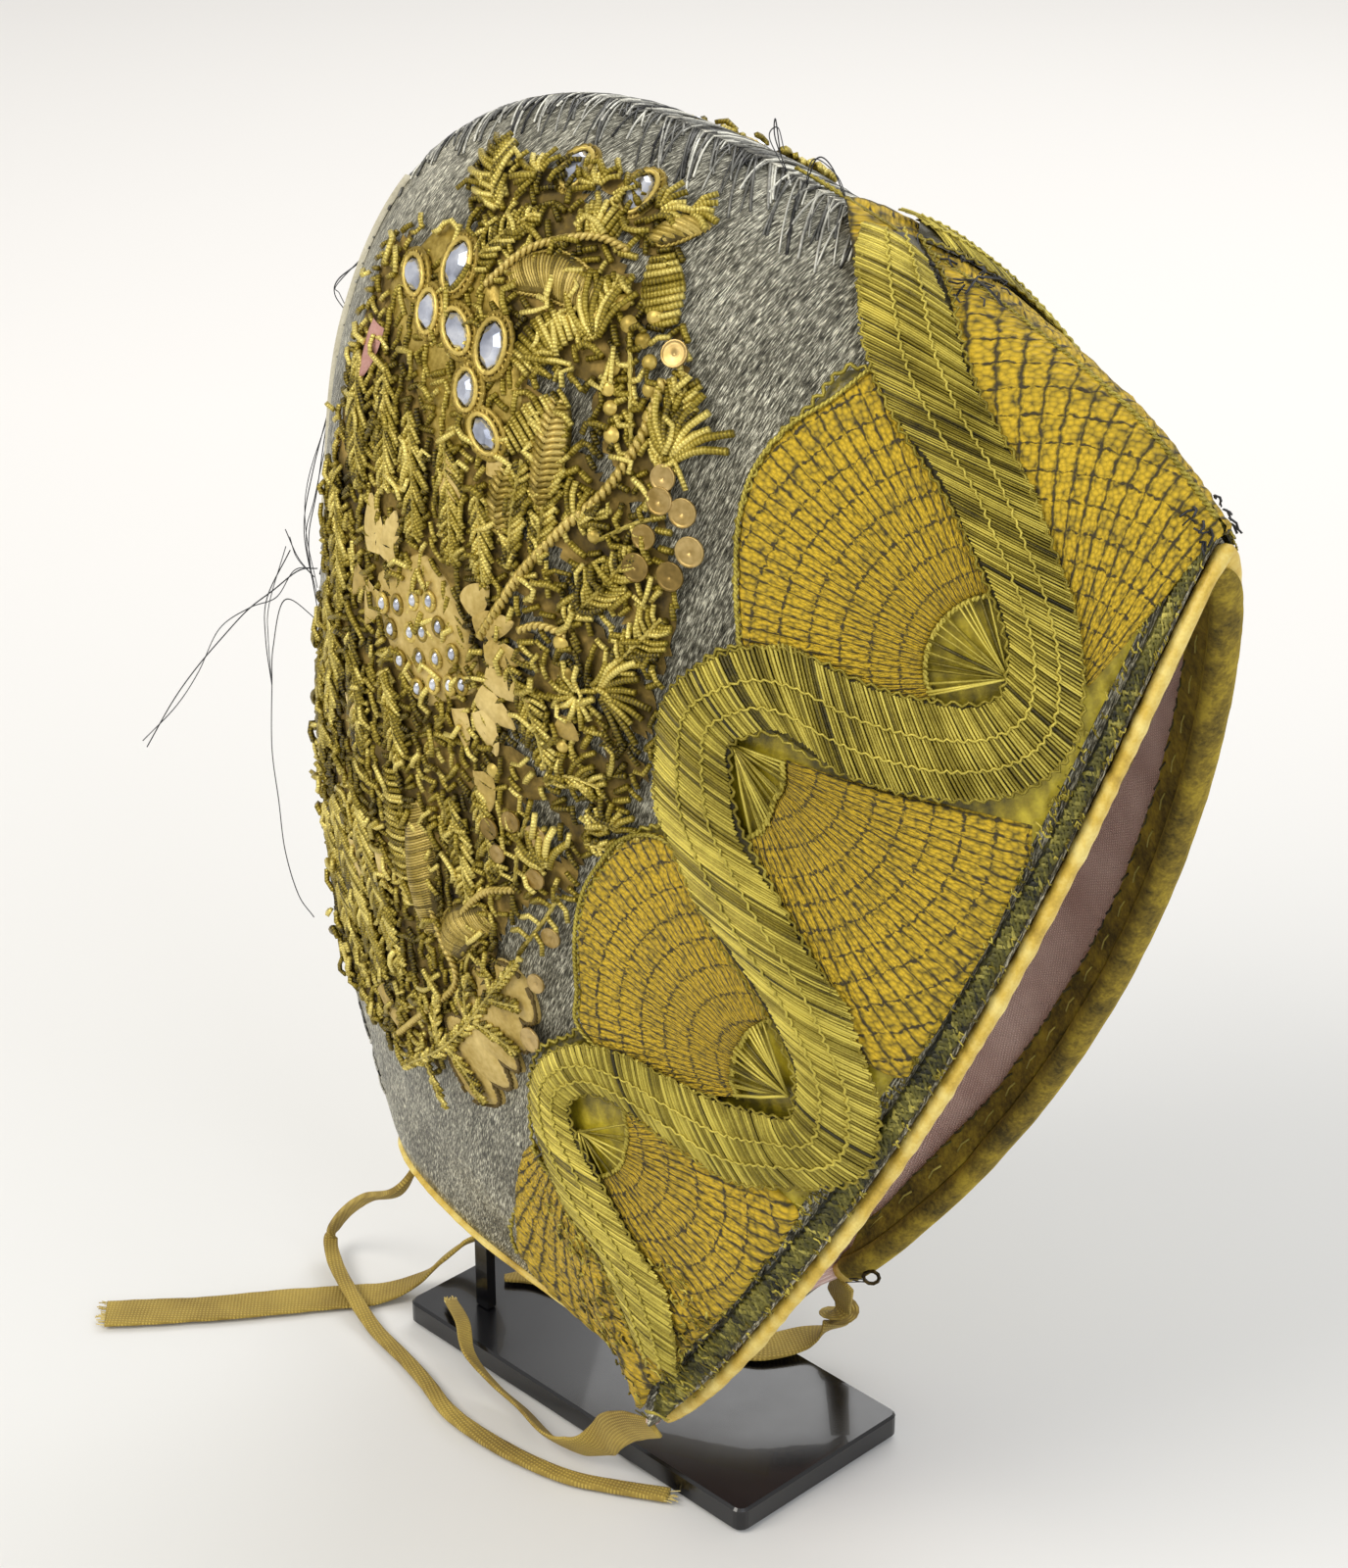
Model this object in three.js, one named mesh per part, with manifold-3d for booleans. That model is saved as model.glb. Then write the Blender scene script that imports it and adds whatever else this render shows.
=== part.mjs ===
// Festive coif of metal thread embroidery and yellow silk lace, on a plain black display stand.
// Millimetres, +Z up. +X runs towards the face opening and -Y towards the viewer.
// The origin is the middle of the underside of the stand's plate.
import * as THREE from "three";
import Module from "manifold-3d";

const wasm = await Module();
wasm.setup();

// Driving sizes of the coif
const coifReach = 234; // ear tip to the highest point of the crown, on one side
const coifHalfWidth = 39.5; // middle plane to the fullest point of one side
const earTipX = 30.5; // ear tip, ahead of the plate's middle
const earTipZ = 23.5; // ear tip, above the floor
const coifPlaneY = -7; // the coif's middle plane, beside the plate's middle
const tipRadius = 1.5; // rounding left open at each ear tip
const earPinch = 0.2; // share by which the sides draw in at the ear tips
const earPinchLength = 60;

// Thickness of the layers, and the air kept between them
const groundThick = 1.2;
const liningThick = 0.8;
const facingThick = 0.8;
const layerGap = 0.3; // between layers that share one grid
const drapeGap = 0.55; // under a piece whose facets cross the facets of the piece below
const facingWidth = 7.5;
const bindingWidth = 2.2;
const bindingRise = 0.9;
const napeBindingWidth = 1.5;
const edgeBraidWidth = 3.4;
const edgeBraidThick = 0.8;
const silkThick = 0.3;
const laceThick = 0.7;
const serpentWidth = 14;
const serpentThick = 0.8;
const serpentCrown = 0.5;
const padThick = 0.9;
const padGap = 0.4; // under the padded embroidery

// Stones
const stoneLong = 7.6;
const stoneWide = 4.6;
const stoneHeight = 1.7;
const stoneTable = 0.6; // share of the girdle that the table spans
const stoneSides = 8;
const stoneGap = 0.2; // under each stone
const stoneSink = 0.35; // drop on the bare ground, whose facets lie inside the true curve

// Stand
const plateLong = 95;
const plateWide = 43.5;
const plateThick = 5;
const plateCorner = 1.6;
const plateBevel = 0.5;
const plateTurn = -7.7; // degrees, seen from above
const postX = -36;
const postWide = 3.5;
const postDeep = 2.2;
const postClear = 7; // air left between the post's end and the lining

// Ties
const tapeWidth = 8.4;
const tapeThick = 0.9;
const foldedWidth = 3;
const foldedThick = 1.5;
const tieSpan = 100; // the size that the ties' positions are shares of

// Grids
const aroundSteps = 18;
const downLines = [0, 0.01, 0.04, 0.1, 0.19, 0.31, 0.45, 0.6, 0.76, 0.9, 1]; // shares down a rib

// Ribs fanned round the ear tip, from the front edge to the nape edge.
// angle in degrees above the front; reach, bow and fall are shares of coifReach, width of coifHalfWidth.
const ribRows = [
  { angle: 65.2, reach: 0.86, bow: 0.058, width: 0.94, fall: 0.68, flat: 0.66, round: 1.5 },
  { angle: 70.6, reach: 0.89, bow: 0.043, width: 0.99, fall: 0.56, flat: 0.62, round: 1.6 },
  { angle: 76.5, reach: 0.91, bow: 0.038, width: 1.0, fall: 0.46, flat: 0.57, round: 1.8 },
  { angle: 83.5, reach: 0.936, bow: 0.02, width: 1.0, fall: 0.38, flat: 0.52, round: 2 },
  { angle: 92, reach: 0.974, bow: 0.01, width: 0.99, fall: 0.34, flat: 0.5, round: 2 },
  { angle: 99.5, reach: 1.0, bow: 0, width: 0.975, fall: 0.325, flat: 0.5, round: 2 },
  { angle: 106.5, reach: 0.98, bow: 0, width: 0.94, fall: 0.335, flat: 0.5, round: 2 },
  { angle: 113, reach: 0.905, bow: 0, width: 0.885, fall: 0.36, flat: 0.52, round: 2 },
  { angle: 120.5, reach: 0.78, bow: 0, width: 0.835, fall: 0.39, flat: 0.54, round: 2 },
  { angle: 131, reach: 0.645, bow: 0, width: 0.76, fall: 0.42, flat: 0.56, round: 2 },
  { angle: 143, reach: 0.535, bow: 0, width: 0.7, fall: 0.42, flat: 0.56, round: 2 },
  { angle: 154.5, reach: 0.445, bow: 0.013, width: 0.65, fall: 0.375, flat: 0.56, round: 2 },
  { angle: 168, reach: 0.375, bow: 0.026, width: 0.62, fall: 0.315, flat: 0.56, round: 2 },
];

// Outline of the lace, row by row down the side. edge is the share down the front edge;
// around and down place the row's other end, on the scalloped border, and dip bows the row downwards.
const laceRows = [
  { edge: 0.002, around: 0.25, down: 0.003 },
  { edge: 0.01, around: 0.248, down: 0.012 },
  { edge: 0.03, around: 0.232, down: 0.03 },
  { edge: 0.05, around: 0.222, down: 0.046 },
  { edge: 0.075, around: 0.243, down: 0.075 },
  { edge: 0.11, around: 0.254, down: 0.112 },
  { edge: 0.15, around: 0.258, down: 0.15 },
  { edge: 0.19, around: 0.254, down: 0.19 },
  { edge: 0.235, around: 0.247, down: 0.23 },
  { edge: 0.28, around: 0.266, down: 0.275 },
  { edge: 0.33, around: 0.28, down: 0.325 },
  { edge: 0.38, around: 0.276, down: 0.375 },
  { edge: 0.43, around: 0.284, down: 0.41 },
  { edge: 0.48, around: 0.315, down: 0.455 },
  { edge: 0.53, around: 0.345, down: 0.51 },
  { edge: 0.58, around: 0.366, down: 0.575 },
  { edge: 0.63, around: 0.374, down: 0.63 },
  { edge: 0.67, around: 0.43, down: 0.655 },
  { edge: 0.71, around: 0.475, down: 0.68 },
  { edge: 0.75, around: 0.51, down: 0.715 },
  { edge: 0.79, around: 0.525, down: 0.75 },
  { edge: 0.83, around: 0.56, down: 0.768 },
  { edge: 0.875, around: 0.67, down: 0.745, dip: 0.03 },
  { edge: 0.905, around: 0.77, down: 0.69, dip: 0.085 },
  { edge: 0.94, around: 0.88, down: 0.635, dip: 0.085 },
  { edge: 0.955, around: 0.985, down: 0.61, dip: 0.1 },
  { edge: 0.965, around: 0.985, down: 0.72, dip: 0.07 },
  { edge: 0.975, around: 0.985, down: 0.83, dip: 0.035 },
];

// Eyes cut in the lace, each a ring of places on the side.
const laceEyes = [
  [
    { around: 0.122, down: 0.122 },
    { around: 0.134, down: 0.138 },
    { around: 0.139, down: 0.157 },
    { around: 0.137, down: 0.18 },
    { around: 0.127, down: 0.198 },
    { around: 0.104, down: 0.184 },
    { around: 0.082, down: 0.168 },
    { around: 0.095, down: 0.139 },
  ],
  [
    { around: 0.237, down: 0.312 },
    { around: 0.218, down: 0.295 },
    { around: 0.208, down: 0.304 },
    { around: 0.206, down: 0.334 },
    { around: 0.215, down: 0.369 },
    { around: 0.23, down: 0.352 },
  ],
  [
    { around: 0.17, down: 0.495 },
    { around: 0.187, down: 0.52 },
    { around: 0.187, down: 0.545 },
    { around: 0.179, down: 0.578 },
    { around: 0.15, down: 0.56 },
    { around: 0.119, down: 0.539 },
    { around: 0.138, down: 0.512 },
  ],
  [
    { around: 0.379, down: 0.717 },
    { around: 0.355, down: 0.684 },
    { around: 0.315, down: 0.681 },
    { around: 0.307, down: 0.713 },
    { around: 0.331, down: 0.745 },
    { around: 0.362, down: 0.737 },
  ],
];

// Middle line of the serpentine braid, from the ridge down to the ear. wide is a share of serpentWidth.
const serpentRows = [
  { around: 0.24, down: 0.004, wide: 0.5 },
  { around: 0.225, down: 0.012, wide: 0.85 },
  { around: 0.202, down: 0.028, wide: 0.9 },
  { around: 0.177, down: 0.047, wide: 0.83 },
  { around: 0.147, down: 0.064, wide: 0.8 },
  { around: 0.118, down: 0.085, wide: 0.78 },
  { around: 0.09, down: 0.107, wide: 0.74 },
  { around: 0.069, down: 0.134, wide: 0.72 },
  { around: 0.06, down: 0.166, wide: 0.8 },
  { around: 0.073, down: 0.199, wide: 0.9 },
  { around: 0.105, down: 0.224, wide: 1.0 },
  { around: 0.144, down: 0.238, wide: 1.0 },
  { around: 0.177, down: 0.246, wide: 1.0 },
  { around: 0.208, down: 0.254, wide: 0.95 },
  { around: 0.236, down: 0.269, wide: 0.85 },
  { around: 0.254, down: 0.302, wide: 0.8 },
  { around: 0.257, down: 0.342, wide: 0.86 },
  { around: 0.248, down: 0.382, wide: 0.93 },
  { around: 0.226, down: 0.41, wide: 0.95 },
  { around: 0.195, down: 0.433, wide: 0.95 },
  { around: 0.161, down: 0.456, wide: 0.88 },
  { around: 0.118, down: 0.481, wide: 0.76 },
  { around: 0.086, down: 0.514, wide: 0.7 },
  { around: 0.078, down: 0.556, wide: 0.7 },
  { around: 0.115, down: 0.592, wide: 0.85 },
  { around: 0.182, down: 0.62, wide: 0.95 },
  { around: 0.242, down: 0.632, wide: 0.85 },
  { around: 0.303, down: 0.642, wide: 0.75 },
  { around: 0.362, down: 0.658, wide: 0.62 },
  { around: 0.405, down: 0.686, wide: 0.56 },
  { around: 0.42, down: 0.722, wide: 0.62 },
  { around: 0.402, down: 0.757, wide: 0.72 },
  { around: 0.36, down: 0.787, wide: 0.76 },
  { around: 0.303, down: 0.817, wide: 0.74 },
  { around: 0.257, down: 0.853, wide: 0.62 },
  { around: 0.22, down: 0.888, wide: 0.4 },
];

// Raised leaves, flowers and grounds of the gold embroidery, each from its foot to its tip.
// wide and rise are in shares of the pad's own length, plump is the share of the width kept at both ends.
const padRows = [
  { name: "satin_leaf_upper", from: [0.4, 0.1], mid: [0.375, 0.09], to: [0.348, 0.095], wide: 0.42, rise: 0.08, plump: 0.08 },
  { name: "satin_leaf_lower", from: [0.62, 0.53], mid: [0.56, 0.543], to: [0.495, 0.556], wide: 0.42, rise: 0.1, plump: 0.08 },
  { name: "ribbed_leaf_short", from: [0.397, 0.27], mid: [0.395, 0.244], to: [0.39, 0.218], wide: 0.42, rise: 0.1, plump: 0.1 },
  { name: "ribbed_leaf_long", from: [0.37, 0.243], mid: [0.364, 0.203], to: [0.36, 0.16], wide: 0.3, rise: 0.09, plump: 0.1 },
  { name: "striped_bud", from: [0.331, 0.05], mid: [0.322, 0.037], to: [0.313, 0.027], wide: 0.5, rise: 0.12, plump: 0.1 },
  { name: "long_satin_leaf", from: [0.575, 0.425], mid: [0.6, 0.465], to: [0.632, 0.497], wide: 0.3, rise: 0.1, plump: 0.12 },
  { name: "flower_boss", from: [0.501, 0.278], mid: [0.487, 0.334], to: [0.472, 0.392], wide: 0.85, rise: 0.05, plump: 0.45 },
  { name: "stone_rosette", from: [0.47, 0.078], mid: [0.435, 0.135], to: [0.41, 0.204], wide: 0.66, rise: 0, plump: 0.6 },
  { name: "oak_leaf", from: [0.455, 0.612], mid: [0.585, 0.622], to: [0.7, 0.6], wide: 0.55, rise: 0.03, plump: 0.15 },
];

// Twisted stem cord through the embroidery
const stemWidth = 1.8;
const stemRise = 1.1;
const stemRows = [
  { around: 0.308, down: 0.12, wide: 1 },
  { around: 0.313, down: 0.16, wide: 1 },
  { around: 0.328, down: 0.205, wide: 1 },
  { around: 0.352, down: 0.243, wide: 1 },
  { around: 0.38, down: 0.285, wide: 1 },
  { around: 0.4, down: 0.315, wide: 1 },
  { around: 0.425, down: 0.345, wide: 1 },
];

// Mirror stones. size is a share of the full stone, turn in degrees from the line down the rib,
// seat is what it stands on: 1 the rosette, 0 the bare ground.
const stoneRows = [
  { around: 0.431, down: 0.095, size: 1.0, turn: 12, seat: 1 },
  { around: 0.463, down: 0.096, size: 0.8, turn: -24, seat: 1 },
  { around: 0.449, down: 0.122, size: 0.78, turn: 0, seat: 1 },
  { around: 0.426, down: 0.136, size: 0.9, turn: -32, seat: 1 },
  { around: 0.402, down: 0.143, size: 1.0, turn: 6, seat: 1 },
  { around: 0.417, down: 0.173, size: 0.74, turn: 0, seat: 1 },
  { around: 0.404, down: 0.2, size: 0.8, turn: -38, seat: 1 },
  { around: 0.382, down: 0.029, size: 0.86, turn: 0, seat: 0 },
  { around: 0.348, down: 0.029, size: 0.92, turn: 8, seat: 0 },
];

// Pale worn strip of the ground along the back ridge
const wornStripWidth = 3.2;
const wornStripThick = 0.4;

// Ties. x, y and z are shares of tieSpan; wide is a share of the tape's width, stand is 1 on edge and 0 flat.
const tieRows = {
  nape_tape_folded: [
    { x: -0.477, y: -0.108, z: 0.391, wide: 1, stand: 0.3 },
    { x: -0.519, y: -0.145, z: 0.3, wide: 1, stand: 0.3 },
    { x: -0.637, y: -0.115, z: 0.22, wide: 1, stand: 0.3 },
    { x: -0.741, y: -0.081, z: 0.12, wide: 1, stand: 0.2 },
    { x: -0.787, y: -0.076, z: 0.045, wide: 1, stand: 0.1 },
    { x: -0.735, y: -0.121, z: 0.028, wide: 1, stand: 0 },
    { x: -0.64, y: -0.177, z: 0.026, wide: 1, stand: 0 },
    { x: -0.521, y: -0.228, z: 0.009, wide: 1, stand: 0 },
    { x: -0.407, y: -0.265, z: 0.009, wide: 1, stand: 0 },
    { x: -0.319, y: -0.298, z: 0.009, wide: 1, stand: 0 },
    { x: -0.228, y: -0.338, z: 0.009, wide: 1.1, stand: 0 },
    { x: -0.133, y: -0.357, z: 0.009, wide: 1.15, stand: 0 },
    { x: -0.022, y: -0.363, z: 0.009, wide: 1.15, stand: 0 },
    { x: 0.087, y: -0.353, z: 0.009, wide: 1.1, stand: 0 },
    { x: 0.174, y: -0.322, z: 0.009, wide: 1.1, stand: 0 },
    { x: 0.272, y: -0.278, z: 0.009, wide: 1.2, stand: 0 },
  ],
  nape_tape_flat: [
    { x: -0.486, y: -0.021, z: 0.386, wide: 0.4, stand: 0.6 },
    { x: -0.43, y: 0.04, z: 0.24, wide: 0.35, stand: 0.6 },
    { x: -0.449, y: 0.033, z: 0.14, wide: 0.3, stand: 0.5 },
    { x: -0.493, y: 0.012, z: 0.1, wide: 0.28, stand: 0.4 },
    { x: -0.512, y: -0.035, z: 0.075, wide: 0.3, stand: 0.3 },
    { x: -0.545, y: -0.066, z: 0.035, wide: 0.55, stand: 0.1 },
    { x: -0.607, y: -0.133, z: 0.006, wide: 0.85, stand: 0 },
    { x: -0.728, y: -0.259, z: 0.006, wide: 1, stand: 0 },
    { x: -0.846, y: -0.386, z: 0.006, wide: 1, stand: 0 },
    { x: -0.994, y: -0.524, z: 0.006, wide: 1.05, stand: 0 },
  ],
  ear_tape_near: [
    { x: 0.307, y: -0.362, z: 0.228, wide: 0.5, stand: 0.8 },
    { x: 0.23, y: -0.34, z: 0.185, wide: 0.8, stand: 0.8 },
    { x: 0.175, y: -0.325, z: 0.14, wide: 0.9, stand: 0.8 },
    { x: 0.125, y: -0.305, z: 0.075, wide: 0.9, stand: 0.7 },
    { x: 0.07, y: -0.31, z: 0.045, wide: 0.9, stand: 0.6 },
    { x: 0.0, y: -0.305, z: 0.035, wide: 0.6, stand: 0.5 },
    { x: -0.1, y: -0.265, z: 0.028, wide: 0.5, stand: 0.5 },
    { x: -0.19, y: -0.245, z: 0.035, wide: 0.4, stand: 0.5 },
    { x: -0.27, y: -0.225, z: 0.06, wide: 0.35, stand: 0.3 },
    { x: -0.335, y: -0.17, z: 0.075, wide: 0.35, stand: 0.1 },
    { x: -0.41, y: -0.12, z: 0.065, wide: 0.3, stand: 0 },
  ],
  ear_tape_far: [
    { x: 0.314, y: 0.222, z: 0.233, wide: 0.6, stand: 0.6 },
    { x: 0.275, y: 0.262, z: 0.15, wide: 0.9, stand: 0.7 },
    { x: 0.272, y: 0.262, z: 0.1, wide: 1, stand: 0.6 },
    { x: 0.23, y: 0.225, z: 0.068, wide: 1, stand: 0.1 },
    { x: 0.16, y: 0.136, z: 0.06, wide: 1, stand: 0 },
    { x: 0.02, y: 0.1, z: 0.06, wide: 1, stand: 0 },
    { x: -0.17, y: 0.085, z: 0.06, wide: 0.9, stand: 0 },
    { x: -0.32, y: 0.065, z: 0.06, wide: 0.7, stand: 0 },
    { x: -0.385, y: 0.015, z: 0.06, wide: 0.25, stand: 0 },
  ],
};

// Materials
function cloth(colour, roughness, metalness = 0) {
  return new THREE.MeshStandardMaterial({ color: colour, roughness, metalness, side: THREE.FrontSide });
}
const silverGround = cloth("#84847e", 0.5, 0.45);
const linenLining = cloth("#7d6560", 0.95);
const oliveVelvet = cloth("#7a6a18", 0.95);
const yellowSilk = cloth("#d8bc55", 0.6);
const silkPanel = cloth("#8b7d12", 0.6);
const tarnishedBraid = cloth("#3c3c26", 0.6, 0.2);
const goldLace = cloth("#b8922a", 0.7, 0.15);
const oliveBraid = cloth("#8f8338", 0.5, 0.3);
const goldThread = cloth("#8d7a35", 0.45, 0.5);
const vellum = cloth("#d8b66a", 0.7);
const wornPadding = cloth("#cfc9b4", 0.9);
const tieTape = cloth("#b99f4f", 0.8);
const mirrorGlass = cloth("#dfe3ea", 0.08);
const agedBrass = cloth("#6d5a2c", 0.45, 0.8);
const blackGloss = cloth("#08080a", 0.15);

const coif = new THREE.Group();
coif.name = "festive_coif_on_stand";

function piece(name, geometry, material) {
  const mesh = new THREE.Mesh(geometry, material);
  mesh.name = name;
  coif.add(mesh);
  return mesh;
}

// A smooth row between the rows of a table, at a share of the way down the table.
function rowAt(rows, share) {
  const last = rows.length - 1;
  const place = Math.min(Math.max(share, 0), 1) * last;
  const first = Math.min(Math.floor(place), last - 1);
  const t = place - first;
  const row = {};
  for (const key of Object.keys(rows[0])) {
    if (typeof rows[0][key] !== "number") continue;
    const b = rows[first][key];
    const c = rows[first + 1][key];
    const a = first > 0 ? rows[first - 1][key] : 2 * b - c;
    const d = first + 1 < last ? rows[first + 2][key] : 2 * c - b;
    row[key] =
      0.5 * (2 * b + (c - a) * t + (2 * a - 5 * b + 4 * c - d) * t * t + (3 * b - a - 3 * c + d) * t * t * t);
  }
  return row;
}

// A place on the coif. around runs from the front edge (0) to the nape edge (1). across runs from
// the near ear (-1) over the ridge (0) to the far ear (1), and its square is the share down the rib.
function onCoif(around, across, lift = 0) {
  const rib = rowAt(ribRows, around);
  const reach = rib.reach * coifReach + lift;
  const down = across * across * (reach - tipRadius);
  const out = reach - down;
  const bow = rib.bow * coifReach * 4 * (out / reach) * (1 - out / reach);
  const turn = THREE.MathUtils.degToRad(rib.angle);
  const fallen = Math.min(1, down / (rib.fall * coifReach));
  let half = (rib.width * coifHalfWidth + lift) * Math.pow(1 - Math.pow(1 - fallen, rib.round), rib.flat);
  const near = Math.max(0, 1 - out / earPinchLength);
  half *= 1 - earPinch * near * near * (3 - 2 * near);
  return new THREE.Vector3(
    earTipX + Math.cos(turn) * out + Math.sin(turn) * bow,
    coifPlaneY + Math.sign(across) * half,
    earTipZ + Math.sin(turn) * out - Math.cos(turn) * bow,
  );
}

// The directions on the coif's surface at a place: one step around, one step down, and straight out.
function directions(around, down, side) {
  const step = 0.004;
  const across = side * Math.sqrt(down);
  const here = onCoif(around, across);
  const a0 = Math.max(0, around - step);
  const a1 = Math.min(1, around + step);
  const alongAround = onCoif(a1, across).sub(onCoif(a0, across)).divideScalar(a1 - a0);
  const d0 = Math.max(0.0004, down - step);
  const d1 = Math.min(1, down + step);
  const alongDown = onCoif(around, side * Math.sqrt(d1))
    .sub(onCoif(around, side * Math.sqrt(d0)))
    .divideScalar(d1 - d0);
  const out = alongAround.clone().cross(alongDown).normalize();
  if (out.y * side < 0) out.negate();
  return { here, alongAround, alongDown, out };
}

// The place reached from a place by a step of millimetres along the surface.
function stepOver(around, down, side, move) {
  const { alongAround: a, alongDown: d } = directions(around, down, side);
  const aa = a.dot(a);
  const ad = a.dot(d);
  const dd = d.dot(d);
  const det = aa * dd - ad * ad;
  const ma = move.dot(a);
  const md = move.dot(d);
  return {
    around: around + (dd * ma - ad * md) / det,
    down: Math.max(0.0006, down + (aa * md - ad * ma) / det),
  };
}

// The share around that lies a width in from the front edge.
function widthIn(width, across, most = 0.5) {
  const perShare = onCoif(0.02, across).distanceTo(onCoif(0, across)) / 0.02;
  return Math.min(most, width / Math.max(perShare, 0.001));
}

// A closed body between an upper and a lower grid of points.
function slab(rows, columns, pointAt) {
  const positions = [];
  const faces = [];
  for (const upper of [true, false])
    for (let i = 0; i <= rows; i++)
      for (let j = 0; j <= columns; j++) positions.push(...pointAt(i, j, upper).toArray());
  const layer = (rows + 1) * (columns + 1);
  const at = (i, j, upper) => (upper ? 0 : layer) + i * (columns + 1) + j;
  const quad = (a, b, c, d) => faces.push(a, b, c, a, c, d);
  for (let i = 0; i < rows; i++)
    for (let j = 0; j < columns; j++) {
      quad(at(i, j, true), at(i + 1, j, true), at(i + 1, j + 1, true), at(i, j + 1, true));
      quad(at(i, j, false), at(i, j + 1, false), at(i + 1, j + 1, false), at(i + 1, j, false));
    }
  for (let i = 0; i < rows; i++) {
    quad(at(i, 0, true), at(i, 0, false), at(i + 1, 0, false), at(i + 1, 0, true));
    quad(at(i, columns, true), at(i + 1, columns, true), at(i + 1, columns, false), at(i, columns, false));
  }
  for (let j = 0; j < columns; j++) {
    quad(at(0, j, true), at(0, j + 1, true), at(0, j + 1, false), at(0, j, false));
    quad(at(rows, j, true), at(rows, j, false), at(rows, j + 1, false), at(rows, j + 1, true));
  }
  return closedBody(positions, faces);
}

// A closed body through rings of points, capped at both ends.
function tube(rings) {
  const positions = [];
  const faces = [];
  const around = rings[0].length;
  for (const ring of rings) for (const point of ring) positions.push(...point.toArray());
  for (let i = 0; i + 1 < rings.length; i++)
    for (let j = 0; j < around; j++) {
      const a = i * around + j;
      const b = i * around + ((j + 1) % around);
      faces.push(a, b, b + around, a, b + around, a + around);
    }
  const end = (rings.length - 1) * around;
  for (let j = 1; j + 1 < around; j++) faces.push(0, j + 1, j, end, end + j, end + j + 1);
  return closedBody(positions, faces);
}

// Geometry with its faces turned outwards.
function closedBody(positions, faces) {
  const a = new THREE.Vector3();
  const b = new THREE.Vector3();
  const c = new THREE.Vector3();
  let volume = 0;
  for (let i = 0; i < faces.length; i += 3) {
    a.fromArray(positions, faces[i] * 3);
    b.fromArray(positions, faces[i + 1] * 3);
    c.fromArray(positions, faces[i + 2] * 3);
    volume += a.dot(b.cross(c));
  }
  if (volume < 0) for (let i = 0; i < faces.length; i += 3) [faces[i + 1], faces[i + 2]] = [faces[i + 2], faces[i + 1]];
  const geometry = new THREE.BufferGeometry();
  geometry.setAttribute("position", new THREE.Float32BufferAttribute(positions, 3));
  geometry.setIndex(faces);
  geometry.computeVertexNormals();
  return geometry;
}

function solidOf(geometry) {
  return new wasm.Manifold(
    new wasm.Mesh({
      numProp: 3,
      vertProperties: new Float32Array(geometry.attributes.position.array),
      triVerts: new Uint32Array(geometry.index.array),
    }),
  );
}

function geometryOf(solid) {
  const mesh = solid.getMesh();
  const positions = [];
  for (let i = 0; i < mesh.vertProperties.length; i += mesh.numProp)
    positions.push(mesh.vertProperties[i], mesh.vertProperties[i + 1], mesh.vertProperties[i + 2]);
  return closedBody(positions, Array.from(mesh.triVerts));
}

// A band that follows a table of places on one side. topAt gives the height over the band's width.
function band(rows, width, side, steps, columns, foot, topAt) {
  const line = (share) => {
    const row = rowAt(rows, share);
    return { ...row, down: Math.max(0.0008, row.down) };
  };
  const places = [];
  for (let i = 0; i <= steps; i++) {
    const share = i / steps;
    const row = line(share);
    const before = line(Math.max(0, share - 0.004));
    const after = line(Math.min(1, share + 0.004));
    const along = onCoif(after.around, side * Math.sqrt(after.down)).sub(
      onCoif(before.around, side * Math.sqrt(before.down)),
    );
    const { out } = directions(row.around, row.down, side);
    const sideways = out.clone().cross(along).normalize();
    const half = (width * row.wide) / 2;
    places.push(
      Array.from({ length: columns + 1 }, (_, j) => {
        const across = -1 + (2 * j) / columns;
        const place = stepOver(row.around, row.down, side, sideways.clone().multiplyScalar(half * across));
        return { ...place, rise: topAt(share, across) };
      }),
    );
  }
  return slab(steps, columns, (i, j, upper) => {
    const p = places[i][j];
    return onCoif(
      Math.min(0.995, Math.max(0.002, p.around)),
      side * Math.sqrt(Math.min(0.995, p.down)),
      upper ? foot + p.rise : foot,
    );
  });
}

// Ground, lining and the facing inside the front edge
const acrossSteps = 2 * (downLines.length - 1);
const acrossAt = (j) => Math.sign(j - acrossSteps / 2) * Math.sqrt(downLines[Math.abs(j - acrossSteps / 2)]);
const acrossWithin = (j, most) => Math.min(most, Math.max(-most, acrossAt(j)));
const liningFace = -(groundThick + layerGap);
const facingFace = liningFace - liningThick - drapeGap;
const innerFace = facingFace - facingThick;
const ridgeStart = 0.0016; // share across at which each half of the ground starts beside the ridge seam
for (const [sideName, side] of [
  ["near", -1],
  ["far", 1],
])
  piece(
    `silver_ground_${sideName}`,
    slab(aroundSteps, downLines.length - 1, (i, j, upper) => {
      const line = side < 0 ? downLines.length - 1 - j : j; // both halves run as the lining does
      const across = side * Math.max(ridgeStart, Math.sqrt(downLines[line]));
      return onCoif(i / aroundSteps, across, upper ? 0 : -groundThick);
    }),
    silverGround,
  );
piece(
  "linen_lining",
  slab(aroundSteps, acrossSteps, (i, j, upper) =>
    onCoif(i / aroundSteps, acrossAt(j), upper ? liningFace : liningFace - liningThick),
  ),
  linenLining,
);
const facingEnd = 0.985;
piece(
  "velvet_facing",
  slab(1, acrossSteps, (i, j, upper) => {
    const across = acrossWithin(j, facingEnd);
    return onCoif(i * widthIn(facingWidth, across), across, upper ? facingFace : innerFace);
  }),
  oliveVelvet,
);

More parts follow.
